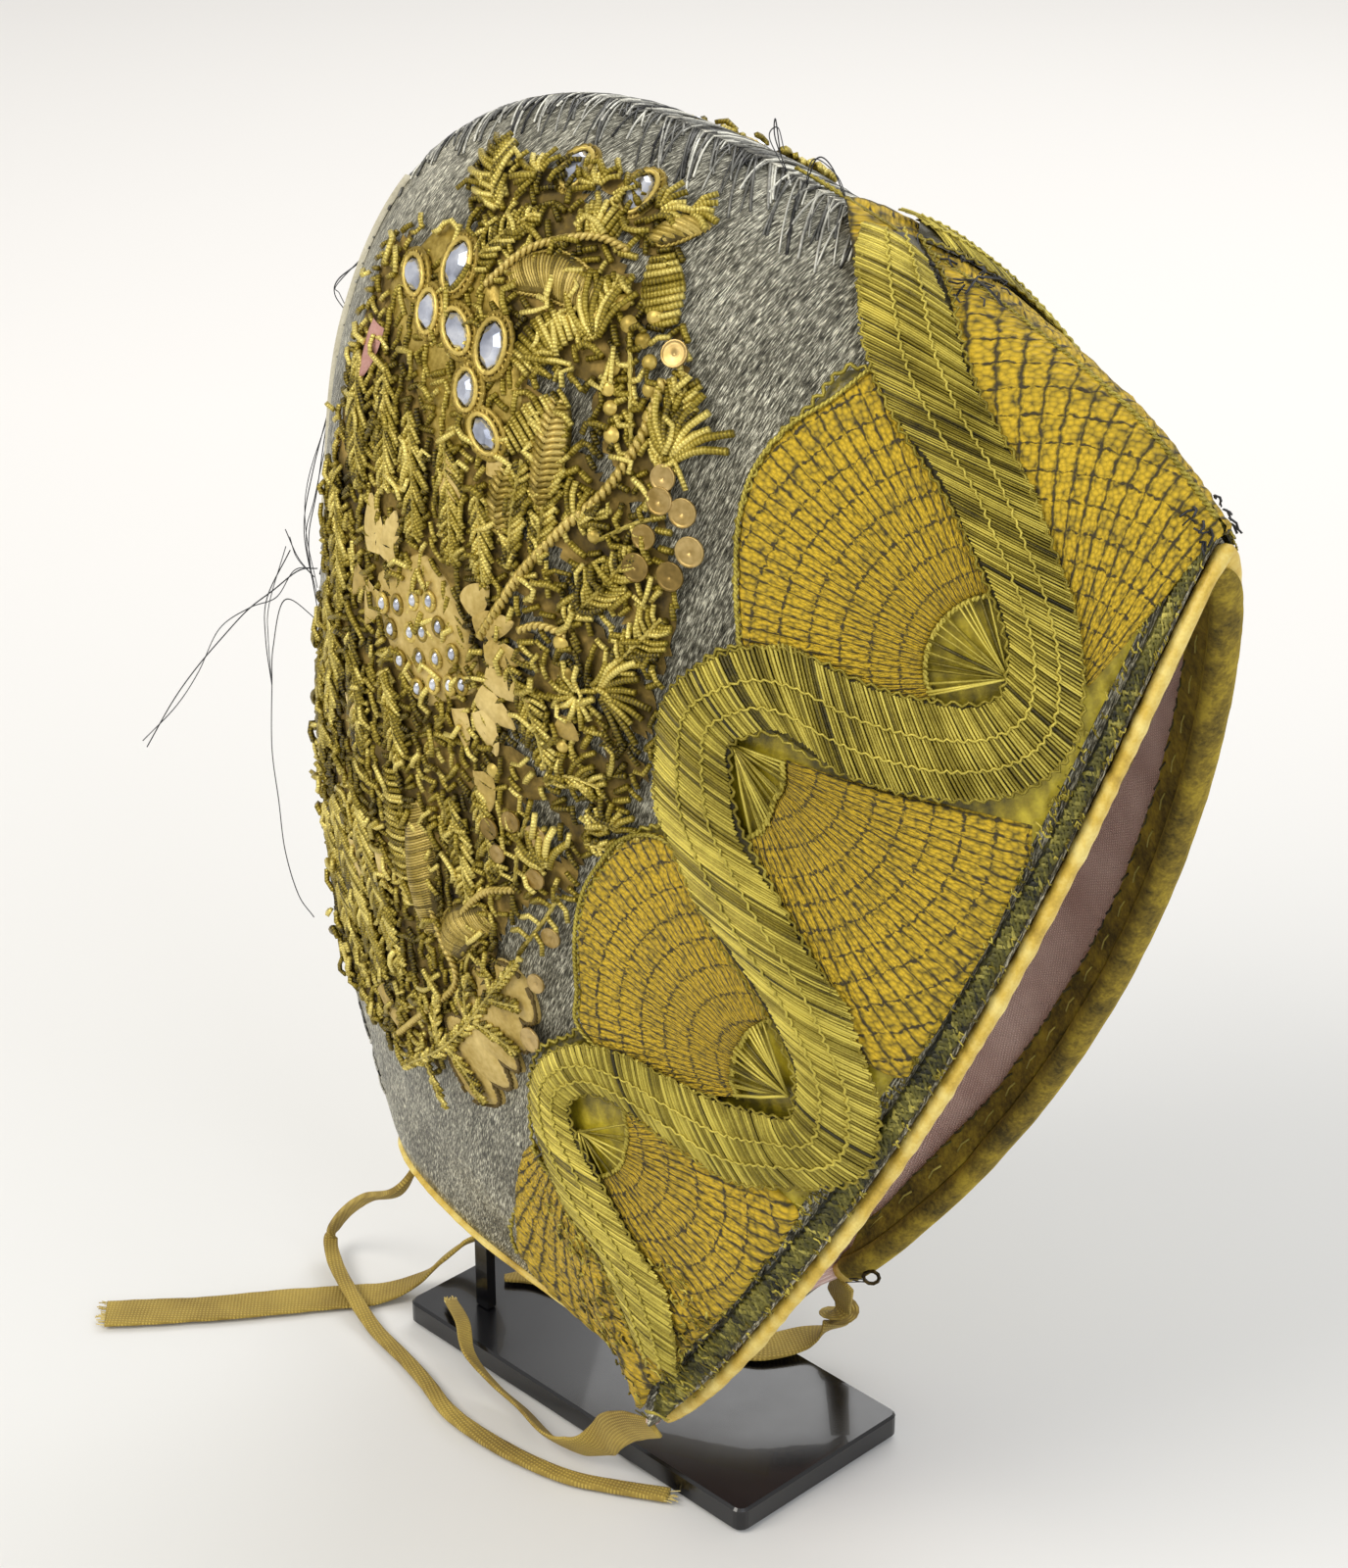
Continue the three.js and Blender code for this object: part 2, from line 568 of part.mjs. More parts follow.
// Silk bindings round the front edge and the nape edge
function binding(around, most, width) {
  const top = bindingRise;
  const foot = innerFace - layerGap;
  const rings = [];
  for (let i = 0; i <= acrossSteps; i++) {
    const across = acrossWithin(i, most);
    const inward = around === 0 ? 0.01 : 0.99;
    const away = onCoif(around, across).sub(onCoif(inward, across)).normalize();
    rings.push(
      Array.from({ length: 8 }, (_, k) => {
        const turn = (2 * Math.PI * (k + 0.5)) / 8;
        const lift = (top + foot) / 2 + ((top - foot) / 2) * Math.sin(turn);
        const beyond = layerGap + (width / 2) * (1 + Math.cos(turn));
        return onCoif(around, across, lift).addScaledVector(away, beyond);
      }),
    );
  }
  return tube(rings);
}
piece("front_binding", binding(0, 0.997, bindingWidth), yellowSilk);
piece("nape_binding", binding(1, 0.95, napeBindingWidth), yellowSilk);

// Tarnished braid just inside the front binding
const braidEnd = 0.97;
piece(
  "edge_braid",
  slab(1, acrossSteps, (i, j, upper) => {
    const across = acrossWithin(j, braidEnd);
    return onCoif(
      widthIn(layerGap + i * edgeBraidWidth, across),
      across,
      drapeGap + layerGap + (upper ? edgeBraidThick : 0),
    );
  }),
  tarnishedBraid,
);

// Lace over its silk panel, and the serpentine braid on it, on both sides
const silkFoot = drapeGap + layerGap;
const laceFoot = silkFoot + silkThick + drapeGap;
const laceTop = laceFoot + laceThick;
const serpentFoot = laceTop + drapeGap;
function lacePlace(rowIndex, share, side) {
  const row = laceRows[rowIndex];
  const front = widthIn(edgeBraidWidth + 3 * layerGap, Math.sqrt(row.edge), 0.9 * row.around);
  const bowed = (row.dip ?? 0) * 4 * share * (1 - share);
  return {
    around: front + (row.around - front) * share,
    across: side * Math.sqrt(row.edge + (row.down - row.edge) * share + bowed),
  };
}
for (const [sideName, side] of [
  ["near", -1],
  ["far", 1],
]) {
  const laceColumns = 4;
  piece(
    `silk_panel_${sideName}`,
    slab(laceRows.length - 5, laceColumns, (i, j, upper) => {
      const { around, across } = lacePlace(i, j / laceColumns, side);
      return onCoif(around, across, silkFoot + (upper ? silkThick : 0));
    }),
    silkPanel,
  );
  let lace = solidOf(
    slab(laceRows.length - 1, laceColumns, (i, j, upper) => {
      const { around, across } = lacePlace(i, j / laceColumns, side);
      return onCoif(around, across, laceFoot + (upper ? laceThick : 0));
    }),
  );
  for (const ring of laceEyes) {
    const rings = [laceFoot - drapeGap / 2, laceTop + drapeGap].map((lift) =>
      ring.map((place) => onCoif(place.around, side * Math.sqrt(place.down), lift)),
    );
    lace = lace.subtract(solidOf(tube(rings)));
  }
  piece(`lace_${sideName}`, geometryOf(lace), goldLace);
  piece(
    `serpentine_braid_${sideName}`,
    band(serpentRows, serpentWidth, side, 42, 2, serpentFoot, (share, across) =>
      serpentThick + serpentCrown * (1 - across * across),
    ),
    oliveBraid,
  );

  // Raised embroidery
  for (const pad of padRows) {
    const rows = [pad.from, pad.mid, pad.to].map(([around, down]) => ({ around, down, wide: 1 }));
    const ends = [rows[0], rows[2]].map((row) => onCoif(row.around, side * Math.sqrt(row.down)));
    const length = ends[0].distanceTo(ends[1]);
    const steps = 6;
    const shaped = Array.from({ length: steps + 1 }, (_, i) => {
      const share = i / steps;
      const swell = Math.sqrt(Math.max(0, 1 - Math.pow(2 * share - 1, 2)));
      return { ...rowAt(rows, share), wide: pad.plump + (1 - pad.plump) * swell };
    });
    piece(
      `${pad.name}_${sideName}`,
      band(shaped, pad.wide * length, side, steps, pad.rise > 0 ? 2 : 4, padGap, (share, across) => {
        const swell = Math.sin(Math.PI * Math.min(1, Math.max(0, share)));
        return padThick + pad.rise * length * swell * (1 - across * across);
      }),
      pad.name === "oak_leaf" || pad.name === "flower_boss" ? vellum : goldThread,
    );
  }
  piece(
    `twisted_stem_${sideName}`,
    band(stemRows, stemWidth, side, 12, 2, drapeGap, (share, across) => stemRise + 0.6 * (1 - across * across)),
    goldThread,
  );

  // Mirror stones, each a table, a ring of crown facets, a girdle and a flat back
  const rosetteTop = padGap + padThick;
  stoneRows.forEach((stone, index) => {
    const { here, alongDown, out } = directions(stone.around, stone.down, side);
    const seat = (stone.seat ? rosetteTop : -stoneSink) + stoneGap;
    const long = alongDown.clone().normalize().applyAxisAngle(out, THREE.MathUtils.degToRad(stone.turn * side));
    const wide = out.clone().cross(long);
    const ring = (height, scale) =>
      Array.from({ length: stoneSides }, (_, k) => {
        const turn = (2 * Math.PI * k) / stoneSides;
        return here
          .clone()
          .addScaledVector(out, seat + height * stoneHeight)
          .addScaledVector(long, ((stoneLong * stone.size) / 2) * scale * Math.cos(turn))
          .addScaledVector(wide, ((stoneWide * stone.size) / 2) * scale * Math.sin(turn));
      });
    piece(
      `mirror_stone_${index + 1}_${sideName}`,
      tube([ring(0, 0.86), ring(0.3, 1), ring(1, stoneTable)]),
      mirrorGlass,
    );
  });
}

// Pale worn strip beside the back ridge, on the near side
const wornRows = [
  { around: 0.51, down: 0.012, wide: 0.5 },
  { around: 0.545, down: 0.018, wide: 0.9 },
  { around: 0.585, down: 0.022, wide: 1 },
  { around: 0.63, down: 0.024, wide: 1 },
  { around: 0.68, down: 0.022, wide: 0.5 },
];
piece(
  "worn_strip",
  band(wornRows, wornStripWidth, -1, 8, 2, drapeGap, () => wornStripThick),
  wornPadding,
);

// Small metal loop at the far ear
const loopRadius = 1.5;
const loopWire = 0.4;
const farTip = onCoif(0, facingEnd, innerFace);
const loop = new THREE.TorusGeometry(loopRadius, loopWire, 5, 10);
loop.deleteAttribute("uv");
loop.rotateX(Math.PI / 2);
loop.rotateZ(THREE.MathUtils.degToRad(30));
loop.translate(farTip.x + loopRadius + loopWire + bindingWidth - layerGap, farTip.y, farTip.z - 0.5);
piece("ear_loop", loop, agedBrass);

// Ties, each a flat band with eight sides to its section
for (const [name, rows] of Object.entries(tieRows)) {
  const folded = name === "nape_tape_folded";
  const width = folded ? foldedWidth : tapeWidth;
  const thick = folded ? foldedThick : tapeThick;
  const steps = Math.round((rows.length - 1) * 1.5);
  const rings = [];
  for (let i = 0; i <= steps; i++) {
    const share = i / steps;
    const row = rowAt(rows, share);
    const a = rowAt(rows, Math.max(0, share - 0.01));
    const b = rowAt(rows, Math.min(1, share + 0.01));
    const along = new THREE.Vector3(b.x - a.x, b.y - a.y, b.z - a.z).normalize();
    const level = new THREE.Vector3(-along.y, along.x, 0).normalize();
    const upright = along.clone().cross(level).normalize();
    const lean = (Math.PI / 2) * row.stand;
    const wide = level.clone().multiplyScalar(Math.cos(lean)).addScaledVector(upright, Math.sin(lean));
    const face = along.clone().cross(wide).normalize();
    const reachDown = Math.abs(wide.z) * (width * row.wide) * 0.5 + Math.abs(face.z) * thick * 0.5;
    const middle = new THREE.Vector3(row.x * tieSpan, row.y * tieSpan, Math.max(row.z * tieSpan, reachDown + 0.1));
    rings.push(
      Array.from({ length: 8 }, (_, k) => {
        const turn = (2 * Math.PI * (k + 0.5)) / 8;
        return middle
          .clone()
          .addScaledVector(wide, ((width * row.wide) / 2) * Math.cos(turn))
          .addScaledVector(face, (thick / 2) * Math.sin(turn));
      }),
    );
  }
  piece(name, tube(rings), tieTape);
}

// Stand: a plate with softened corners, and a post that ends inside the crown
const plateShape = new THREE.Shape();
const halfLong = plateLong / 2 - plateBevel;
const halfWide = plateWide / 2 - plateBevel;
const corner = plateCorner;
plateShape.moveTo(-halfLong + corner, -halfWide);
plateShape.lineTo(halfLong - corner, -halfWide);
plateShape.absarc(halfLong - corner, -halfWide + corner, corner, -Math.PI / 2, 0);
plateShape.lineTo(halfLong, halfWide - corner);
plateShape.absarc(halfLong - corner, halfWide - corner, corner, 0, Math.PI / 2);
plateShape.lineTo(-halfLong + corner, halfWide);
plateShape.absarc(-halfLong + corner, halfWide - corner, corner, Math.PI / 2, Math.PI);
plateShape.lineTo(-halfLong, -halfWide + corner);
plateShape.absarc(-halfLong + corner, -halfWide + corner, corner, Math.PI, 1.5 * Math.PI);
const plate = new THREE.ExtrudeGeometry(plateShape, {
  depth: plateThick - 2 * plateBevel,
  bevelEnabled: true,
  bevelThickness: plateBevel,
  bevelSize: plateBevel,
  bevelSegments: 1,
  curveSegments: 2,
});
plate.translate(0, 0, plateBevel);
plate.rotateZ(THREE.MathUtils.degToRad(plateTurn));
piece("stand_plate", plate, blackGloss);

// The height of the lining's inner face over the post, read along the ridge
let postTop = plateThick + postClear;
for (let share = 0.35; share <= 0.75; share += 0.005) {
  const ridge = onCoif(share, 0, liningFace - liningThick);
  if (Math.abs(ridge.x - postX) < coifReach * 0.02) postTop = Math.max(postTop, ridge.z - postClear);
}
const post = new THREE.BoxGeometry(postWide, postDeep, postTop - plateThick - layerGap);
post.translate(0, 0, (postTop + plateThick + layerGap) / 2);
post.rotateZ(THREE.MathUtils.degToRad(plateTurn));
post.translate(postX, coifPlaneY, 0);
piece("stand_post", post, blackGloss);

export default coif;
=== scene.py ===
import math
import bpy
import numpy as np
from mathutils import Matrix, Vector


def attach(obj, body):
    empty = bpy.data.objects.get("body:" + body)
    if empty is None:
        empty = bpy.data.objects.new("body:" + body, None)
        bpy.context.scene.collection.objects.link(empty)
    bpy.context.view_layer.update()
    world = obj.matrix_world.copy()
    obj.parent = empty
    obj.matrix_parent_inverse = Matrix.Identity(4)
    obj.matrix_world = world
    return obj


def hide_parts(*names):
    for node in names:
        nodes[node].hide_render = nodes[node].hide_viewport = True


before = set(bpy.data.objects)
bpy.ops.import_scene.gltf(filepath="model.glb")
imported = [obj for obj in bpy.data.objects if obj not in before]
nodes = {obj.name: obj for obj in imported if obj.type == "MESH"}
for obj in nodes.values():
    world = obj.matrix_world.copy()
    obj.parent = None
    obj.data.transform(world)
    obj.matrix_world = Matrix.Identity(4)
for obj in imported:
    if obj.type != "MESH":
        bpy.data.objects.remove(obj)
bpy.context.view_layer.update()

dice = np.random.default_rng(11)
mm = 0.001

# Camera at the photograph's place: 38 degrees round, 25.5 degrees down
cameraSet = {"place": (0.3187, -0.3993, 0.3735), "azimuth": 38.0, "down": 25.5, "lens": 72.0}
cameraData = bpy.data.cameras.new("camera")
cameraData.lens = cameraSet["lens"]
cameraData.sensor_width = 36
cameraData.clip_start, cameraData.clip_end = 0.01, 50
camera = bpy.data.objects.new("camera", cameraData)
camera.location = cameraSet["place"]
camera.rotation_euler = (math.radians(90 - cameraSet["down"]), 0, math.radians(cameraSet["azimuth"]))
bpy.context.scene.collection.objects.link(camera)
bpy.context.scene.camera = camera
bpy.context.scene.view_settings.view_transform = "Standard"


# Colours and shader nodes
def colour(hexText):
    parts = [int(hexText[k:k + 2], 16) / 255 for k in (1, 3, 5)]
    return tuple(c / 12.92 if c <= 0.04045 else ((c + 0.055) / 1.055) ** 2.4 for c in parts) + (1.0,)


def addNode(tree, kind, links=None, **settings):
    made = tree.nodes.new(kind)
    for key, value in settings.items():
        setattr(made, key, value)
    for key, value in (links or {}).items():
        socket = made.inputs[key]
        if isinstance(value, bpy.types.NodeSocket):
            tree.links.new(value, socket)
        else:
            socket.default_value = value
    return made


def newMaterial(name, **values):
    made = bpy.data.materials.new(name)
    made.use_nodes = True
    shader = made.node_tree.nodes["Principled BSDF"]
    for key, value in values.items():
        shader.inputs[key].default_value = value
    return made, made.node_tree, shader


def ramp(tree, factor, stops):
    made = addNode(tree, "ShaderNodeValToRGB", {"Fac": factor})
    line = made.color_ramp
    while len(line.elements) < len(stops):
        line.elements.new(0.5)
    for element, (place, hexText) in zip(line.elements, stops):
        element.position = place
        element.color = colour(hexText)
    return made.outputs["Color"]


def calc(tree, operation, *values):
    return addNode(tree, "ShaderNodeMath", dict(enumerate(values)), operation=operation).outputs["Value"]


def noise(tree, vector, scale, detail, rough=0.5):
    return addNode(tree, "ShaderNodeTexNoise", {"Vector": vector, "Scale": scale, "Detail": detail,
                                                "Roughness": rough}).outputs["Fac"]


def mapped(tree, vector, scale=(1, 1, 1), turn=0.0):
    return addNode(tree, "ShaderNodeMapping", {"Vector": vector, "Rotation": (0, 0, turn),
                                               "Scale": scale}).outputs["Vector"]


def uvPlace(tree):
    return addNode(tree, "ShaderNodeUVMap", uv_map="cloth").outputs["UV"]


def objectPlace(tree):
    return addNode(tree, "ShaderNodeTexCoord").outputs["Object"]


def finishLook(tree, shader, level, stops, height=None, strength=1.0, depth=0.0):
    # colour from a ramp and, where a height is given, bump
    tree.links.new(ramp(tree, level, stops), shader.inputs["Base Color"])
    if height is not None:
        bump = addNode(tree, "ShaderNodeBump", {"Height": height, "Strength": strength, "Distance": depth})
        tree.links.new(bump.outputs["Normal"], shader.inputs["Normal"])


# The coif's form, in millimetres as in its plan
coif = {
    "reach": 234.0,
    "halfWidth": 39.5,
    "tip": (30.5, 23.5),
    "planeY": -7.0,
    "tipRadius": 1.5,
    "pinch": 0.2,
    "pinchLength": 60.0,
    # angle, reach, bow, width, fall, flat, round of each rib, from the front edge to the nape
    "ribs": [
        (65.2, 0.86, 0.058, 0.94, 0.68, 0.66, 1.5),
        (70.6, 0.89, 0.043, 0.99, 0.56, 0.62, 1.6),
        (76.5, 0.91, 0.038, 1.0, 0.46, 0.57, 1.8),
        (83.5, 0.936, 0.02, 1.0, 0.38, 0.52, 2.0),
        (92, 0.974, 0.01, 0.99, 0.34, 0.5, 2.0),
        (99.5, 1.0, 0, 0.975, 0.325, 0.5, 2.0),
        (106.5, 0.98, 0, 0.94, 0.335, 0.5, 2.0),
        (113, 0.905, 0, 0.885, 0.36, 0.52, 2.0),
        (120.5, 0.78, 0, 0.835, 0.39, 0.54, 2.0),
        (131, 0.645, 0, 0.76, 0.42, 0.56, 2.0),
        (143, 0.535, 0, 0.7, 0.42, 0.56, 2.0),
        (154.5, 0.445, 0.013, 0.65, 0.375, 0.56, 2.0),
        (168, 0.375, 0.026, 0.62, 0.315, 0.56, 2.0),
    ],
}


def smoothRows(rows, shares):
    rows = np.asarray(rows, float)
    last = len(rows) - 1
    place = np.clip(np.atleast_1d(shares), 0, 1) * last
    first = np.minimum(place.astype(int), last - 1)
    t = (place - first)[:, None]
    full = np.vstack([2 * rows[0] - rows[1], rows, 2 * rows[-1] - rows[-2]])
    a, b, c, d = full[first], full[first + 1], full[first + 2], full[first + 3]
    squared, cubed = 2 * a - 5 * b + 4 * c - d, 3 * b - a - 3 * c + d
    return 0.5 * (2 * b + (c - a) * t + squared * t * t + cubed * t ** 3)


aroundSteps, acrossSteps = 240, 600
aroundLine = np.linspace(0, 1, aroundSteps + 1)
acrossLine = np.linspace(-1, 1, acrossSteps + 1)


def formGrid():
    rib = smoothRows(coif["ribs"], aroundLine)[:, None, :]
    turn = np.radians(rib[..., 0])
    reach = rib[..., 1] * coif["reach"]
    down = acrossLine[None, :] ** 2 * (reach - coif["tipRadius"])
    out = reach - down
    bow = rib[..., 2] * coif["reach"] * 4 * (out / reach) * (1 - out / reach)
    fallen = np.minimum(1, down / (rib[..., 4] * coif["reach"]))
    half = rib[..., 3] * coif["halfWidth"] * (1 - (1 - fallen) ** rib[..., 6]) ** rib[..., 5]
    near = np.maximum(0, 1 - out / coif["pinchLength"])
    half = half * (1 - coif["pinch"] * near * near * (3 - 2 * near))
    x = coif["tip"][0] + np.cos(turn) * out + np.sin(turn) * bow
    y = coif["planeY"] + np.sign(acrossLine)[None, :] * half
    z = coif["tip"][1] + np.sin(turn) * out - np.cos(turn) * bow
    return np.stack([x, y, z], -1)


formPoints = formGrid()
stepAround = np.gradient(formPoints, axis=0) * aroundSteps
stepAcross = np.gradient(formPoints, axis=1)
formNormals = np.cross(stepAround, stepAcross)
formNormals /= np.linalg.norm(formNormals, axis=-1, keepdims=True) + 1e-9
if formNormals[aroundSteps // 2, acrossSteps * 5 // 6, 1] < 0:
    formNormals = -formNormals
ribAngles = smoothRows(coif["ribs"], aroundLine)[:, 0]

# Lengths along each rib from the ear, for the flat pattern that the embroidery is drawn on
halfGrid = formPoints[:, acrossSteps // 2:]
ribSteps = np.linalg.norm(np.diff(halfGrid, axis=1), axis=2)
fromRidge = np.concatenate([np.zeros((aroundSteps + 1, 1)), np.cumsum(ribSteps, axis=1)], axis=1)
ribLengths = fromRidge[:, -1]
halfLine = acrossLine[acrossSteps // 2:]
shareSteps = 400
shareLine = np.linspace(0, 1, shareSteps + 1)
acrossOfShare = np.array([
    np.interp(shareLine, 1 - down[::-1] / down[-1], halfLine[::-1]) for down in fromRidge
])


def lookUp(grid, a, b):
    # a and b are places in steps of the grid's two directions
    i = np.clip(a.astype(int), 0, grid.shape[0] - 2)
    j = np.clip(b.astype(int), 0, grid.shape[1] - 2)
    s, t = np.clip(a - i, 0, 1), np.clip(b - j, 0, 1)
    if grid.ndim == 3:
        s, t = s[:, None], t[:, None]
    return (grid[i, j] * (1 - s) * (1 - t) + grid[i + 1, j] * s * (1 - t)
            + grid[i, j + 1] * (1 - s) * t + grid[i + 1, j + 1] * s * t)


def onCoif(around, across, height):
    a = np.clip(around, 0, 1) * aroundSteps
    b = (np.clip(across, -1, 1) + 1) / 2 * acrossSteps
    return (lookUp(formPoints, a, b) + lookUp(formNormals, a, b) * np.asarray(height)[:, None]) * mm


def fromFlat(x, z):
    angle = np.degrees(np.arctan2(z, x))
    around = np.interp(angle, ribAngles, aroundLine)
    share = np.hypot(x, z) / np.interp(around, aroundLine, ribLengths)
    return around, lookUp(acrossOfShare, around * aroundSteps, np.clip(share, 0, 1) * shareSteps)


def flatAt(around, length):
    # the place on the flat pattern at a share round the coif and a length from the ear
    turn = np.radians(np.interp(around, aroundLine, ribAngles))
    return np.stack([length * np.cos(turn), length * np.sin(turn)], -1)


def toFlat(around, down):
    b = np.sqrt(np.atleast_1d(down)) * (acrossSteps // 2)
    fallen = lookUp(fromRidge, np.atleast_1d(around) * aroundSteps, b)[0]
    return flatAt(around, np.interp(around, aroundLine, ribLengths) - fallen)


def layDown(points, side):
    # points on the flat pattern: forwards, up, and height over the ground
    around, across = fromFlat(points[:, 0], points[:, 1])
    return onCoif(around, across * side, points[:, 2])


def wave(place, seed, length):
    # a smooth irregular curve between about -1 and 1
    turn = np.random.default_rng(seed).uniform(0, 2 * math.pi, 4)
    place = np.asarray(place, float) * 2 * math.pi / length
    return (np.sin(place + turn[0]) + np.sin(place * 1.73 + turn[1]) + np.sin(place * 0.61 + turn[2])
            + 0.6 * np.sin(place * 2.9 + turn[3])) / 3


# Meshes from arrays: a batch gathers many small pieces before they are laid on the coif
def newBatch():
    return {"points": [], "quads": [], "tris": [], "uv": [], "tint": [], "count": 0}


def addPiece(batch, points, quads=None, tris=None, uv=None, tint=0.5):
    points = np.asarray(points, float)
    batch["points"].append(points)
    if quads is not None and len(quads):
        batch["quads"].append(np.asarray(quads, int) + batch["count"])
    if tris is not None and len(tris):
        batch["tris"].append(np.asarray(tris, int) + batch["count"])
    batch["uv"].append(np.zeros((len(points), 2)) if uv is None else np.asarray(uv, float))
    batch["tint"].append(np.full(len(points), tint) if np.isscalar(tint) else np.asarray(tint, float))
    batch["count"] += len(points)


def objectFrom(name, points, quads, tris, uv, tint):
    mesh = bpy.data.meshes.new(name)
    mesh.vertices.add(len(points))
    mesh.vertices.foreach_set("co", np.asarray(points, np.float32).ravel())
    loops = np.concatenate([quads.ravel(), tris.ravel()]).astype(np.int32)
    starts = np.concatenate([np.arange(len(quads)) * 4, len(quads) * 4 + np.arange(len(tris)) * 3])
    mesh.loops.add(len(loops))
    mesh.loops.foreach_set("vertex_index", loops)
    mesh.polygons.add(len(starts))
    mesh.polygons.foreach_set("loop_start", starts.astype(np.int32))
    mesh.update(calc_edges=True)
    layer = mesh.uv_layers.new(name="cloth")
    layer.data.foreach_set("uv", uv[loops].astype(np.float32).ravel())
    shade = mesh.attributes.new("tint", "FLOAT", "POINT")
    shade.data.foreach_set("value", tint.astype(np.float32))
    mesh.validate()
    mesh.polygons.foreach_set("use_smooth", np.full(len(mesh.polygons), True))
    made = bpy.data.objects.new(name, mesh)
    bpy.context.scene.collection.objects.link(made)
    return made


def settle(made, material, replaced=()):
    made.data.materials.clear()
    made.data.materials.append(material)
    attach(made, "root")
    if replaced:
        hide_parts(*replaced)
    return made


def gathered(batch):
    quads = np.concatenate(batch["quads"]) if batch["quads"] else np.zeros((0, 4), int)
    tris = np.concatenate(batch["tris"]) if batch["tris"] else np.zeros((0, 3), int)
    points, uv, tint = (np.concatenate(batch[key]) for key in ("points", "uv", "tint"))
    return points, quads, tris, uv, tint


def layBatch(batch, name, material, replaced=(), sides=(-1, 1)):
    points, quads, tris, uv, tint = gathered(batch)
    made = []
    for side in sides:
        sideName, way = ("near", 1) if side < 0 else ("far", -1)
        piece = objectFrom(f"{name}_{sideName}", layDown(points, side), quads[:, ::way], tris[:, ::way],
                           uv, tint)
        made.append(settle(piece, material, [f"{node}_{sideName}" for node in replaced]))
    print(name, "faces a side", len(quads) + len(tris))
    return made


def gridQuads(rows, columns, closed=False):
    i, j = np.meshgrid(np.arange(rows), np.arange(columns), indexing="ij")
    wide = columns if closed else columns + 1
    a = i * wide + j
    b = i * wide + (j + 1) % wide if closed else a + 1
    return np.stack([a, b, b + wide, a + wide], -1).reshape(-1, 4)[:, ::-1]


def travelOf(places):
    # how far along a line each of its places lies
    return np.concatenate([[0], np.cumsum(np.linalg.norm(np.diff(places, axis=0), axis=1))])


def tubeFaces(rings, sides):
    # the quads round a tube and the triangles that close its ends
    first, last = np.arange(sides), (rings - 1) * sides + np.arange(sides)
    tris = [(first[0], first[k], first[k + 1]) for k in range(1, sides - 1)]
    tris += [(last[0], last[k + 1], last[k]) for k in range(1, sides - 1)]
    return gridQuads(rings - 1, sides, closed=True), np.array(tris)


def smoothPath(points, step):
    # a curve through a few places, cut into even steps
    points = np.asarray(points, float)
    fine = smoothRows(points, np.linspace(0, 1, 24 * len(points)))
    length = travelOf(fine[:, :2])
    count = max(2, int(round(length[-1] / step)) + 1)
    places = np.linspace(0, length[-1], count)
    return np.stack([np.interp(places, length, fine[:, k]) for k in range(fine.shape[1])], -1), places


def sideways(path):
    along = np.gradient(path[:, :2], axis=0)
    along /= np.linalg.norm(along, axis=1, keepdims=True) + 1e-9
    return along, np.stack([along[:, 1], -along[:, 0]], -1)


def addTube(batch, path, radius, height, sides=6, twist=None, tint=0.5):
    # a thread or cord along a path; twist gives (strands, pitch) of a laid cord
    count = len(path)
    _, right = sideways(path)
    travel = travelOf(path[:, :2])
    turn = np.arange(sides) * 2 * math.pi / sides
    size = np.broadcast_to(np.asarray(radius, float), (count,))[:, None] * np.ones((1, sides))
    if twist:
        size = size * (1 + 0.24 * np.cos(twist[0] * turn[None, :] - 2 * math.pi * travel[:, None] / twist[1]))
    lift = np.broadcast_to(np.asarray(height, float), (count,))[:, None]
    points = np.zeros((count, sides, 3))
    points[..., :2] = path[:, None, :2] + right[:, None, :] * (np.cos(turn) * size)[..., None]
    points[..., 2] = lift + np.sin(turn) * size
    quads, tris = tubeFaces(count, sides)
    uv = np.stack([np.repeat(travel, sides), np.tile(turn, count)], -1)
    addPiece(batch, points.reshape(-1, 3), quads, tris, uv, tint)


def addRibbon(batch, path, right, edge, height, tint):
    # edge gives how far each column lies to the right of the path, and height its height
    points = np.zeros((*edge.shape, 3))
    points[..., :2] = path[:, None, :2] + right[:, None, :] * edge[..., None]
    points[..., 2] = height
    addPiece(batch, points.reshape(-1, 3), gridQuads(edge.shape[0] - 1, edge.shape[1] - 1), tint=tint)


def addTwine(batch, path, radius, height, pitch, tint=0.7, sides=6):
    # two strands laid round each other, each painted lighter where it rides up and darker where it dips under
    # the other: painted light and shade
    _, right = sideways(path)
    travel = travelOf(path[:, :2])
    for start in (0, math.pi):
        turn = 2 * math.pi * travel / pitch + start
        line = path[:, :2] + right * (np.cos(turn) * radius * 0.5)[:, None]
        addTube(batch, line, radius * 0.58, height + np.sin(turn) * radius * 0.5, sides=sides,
                tint=tint + 0.2 * np.repeat(np.sin(turn), sides))
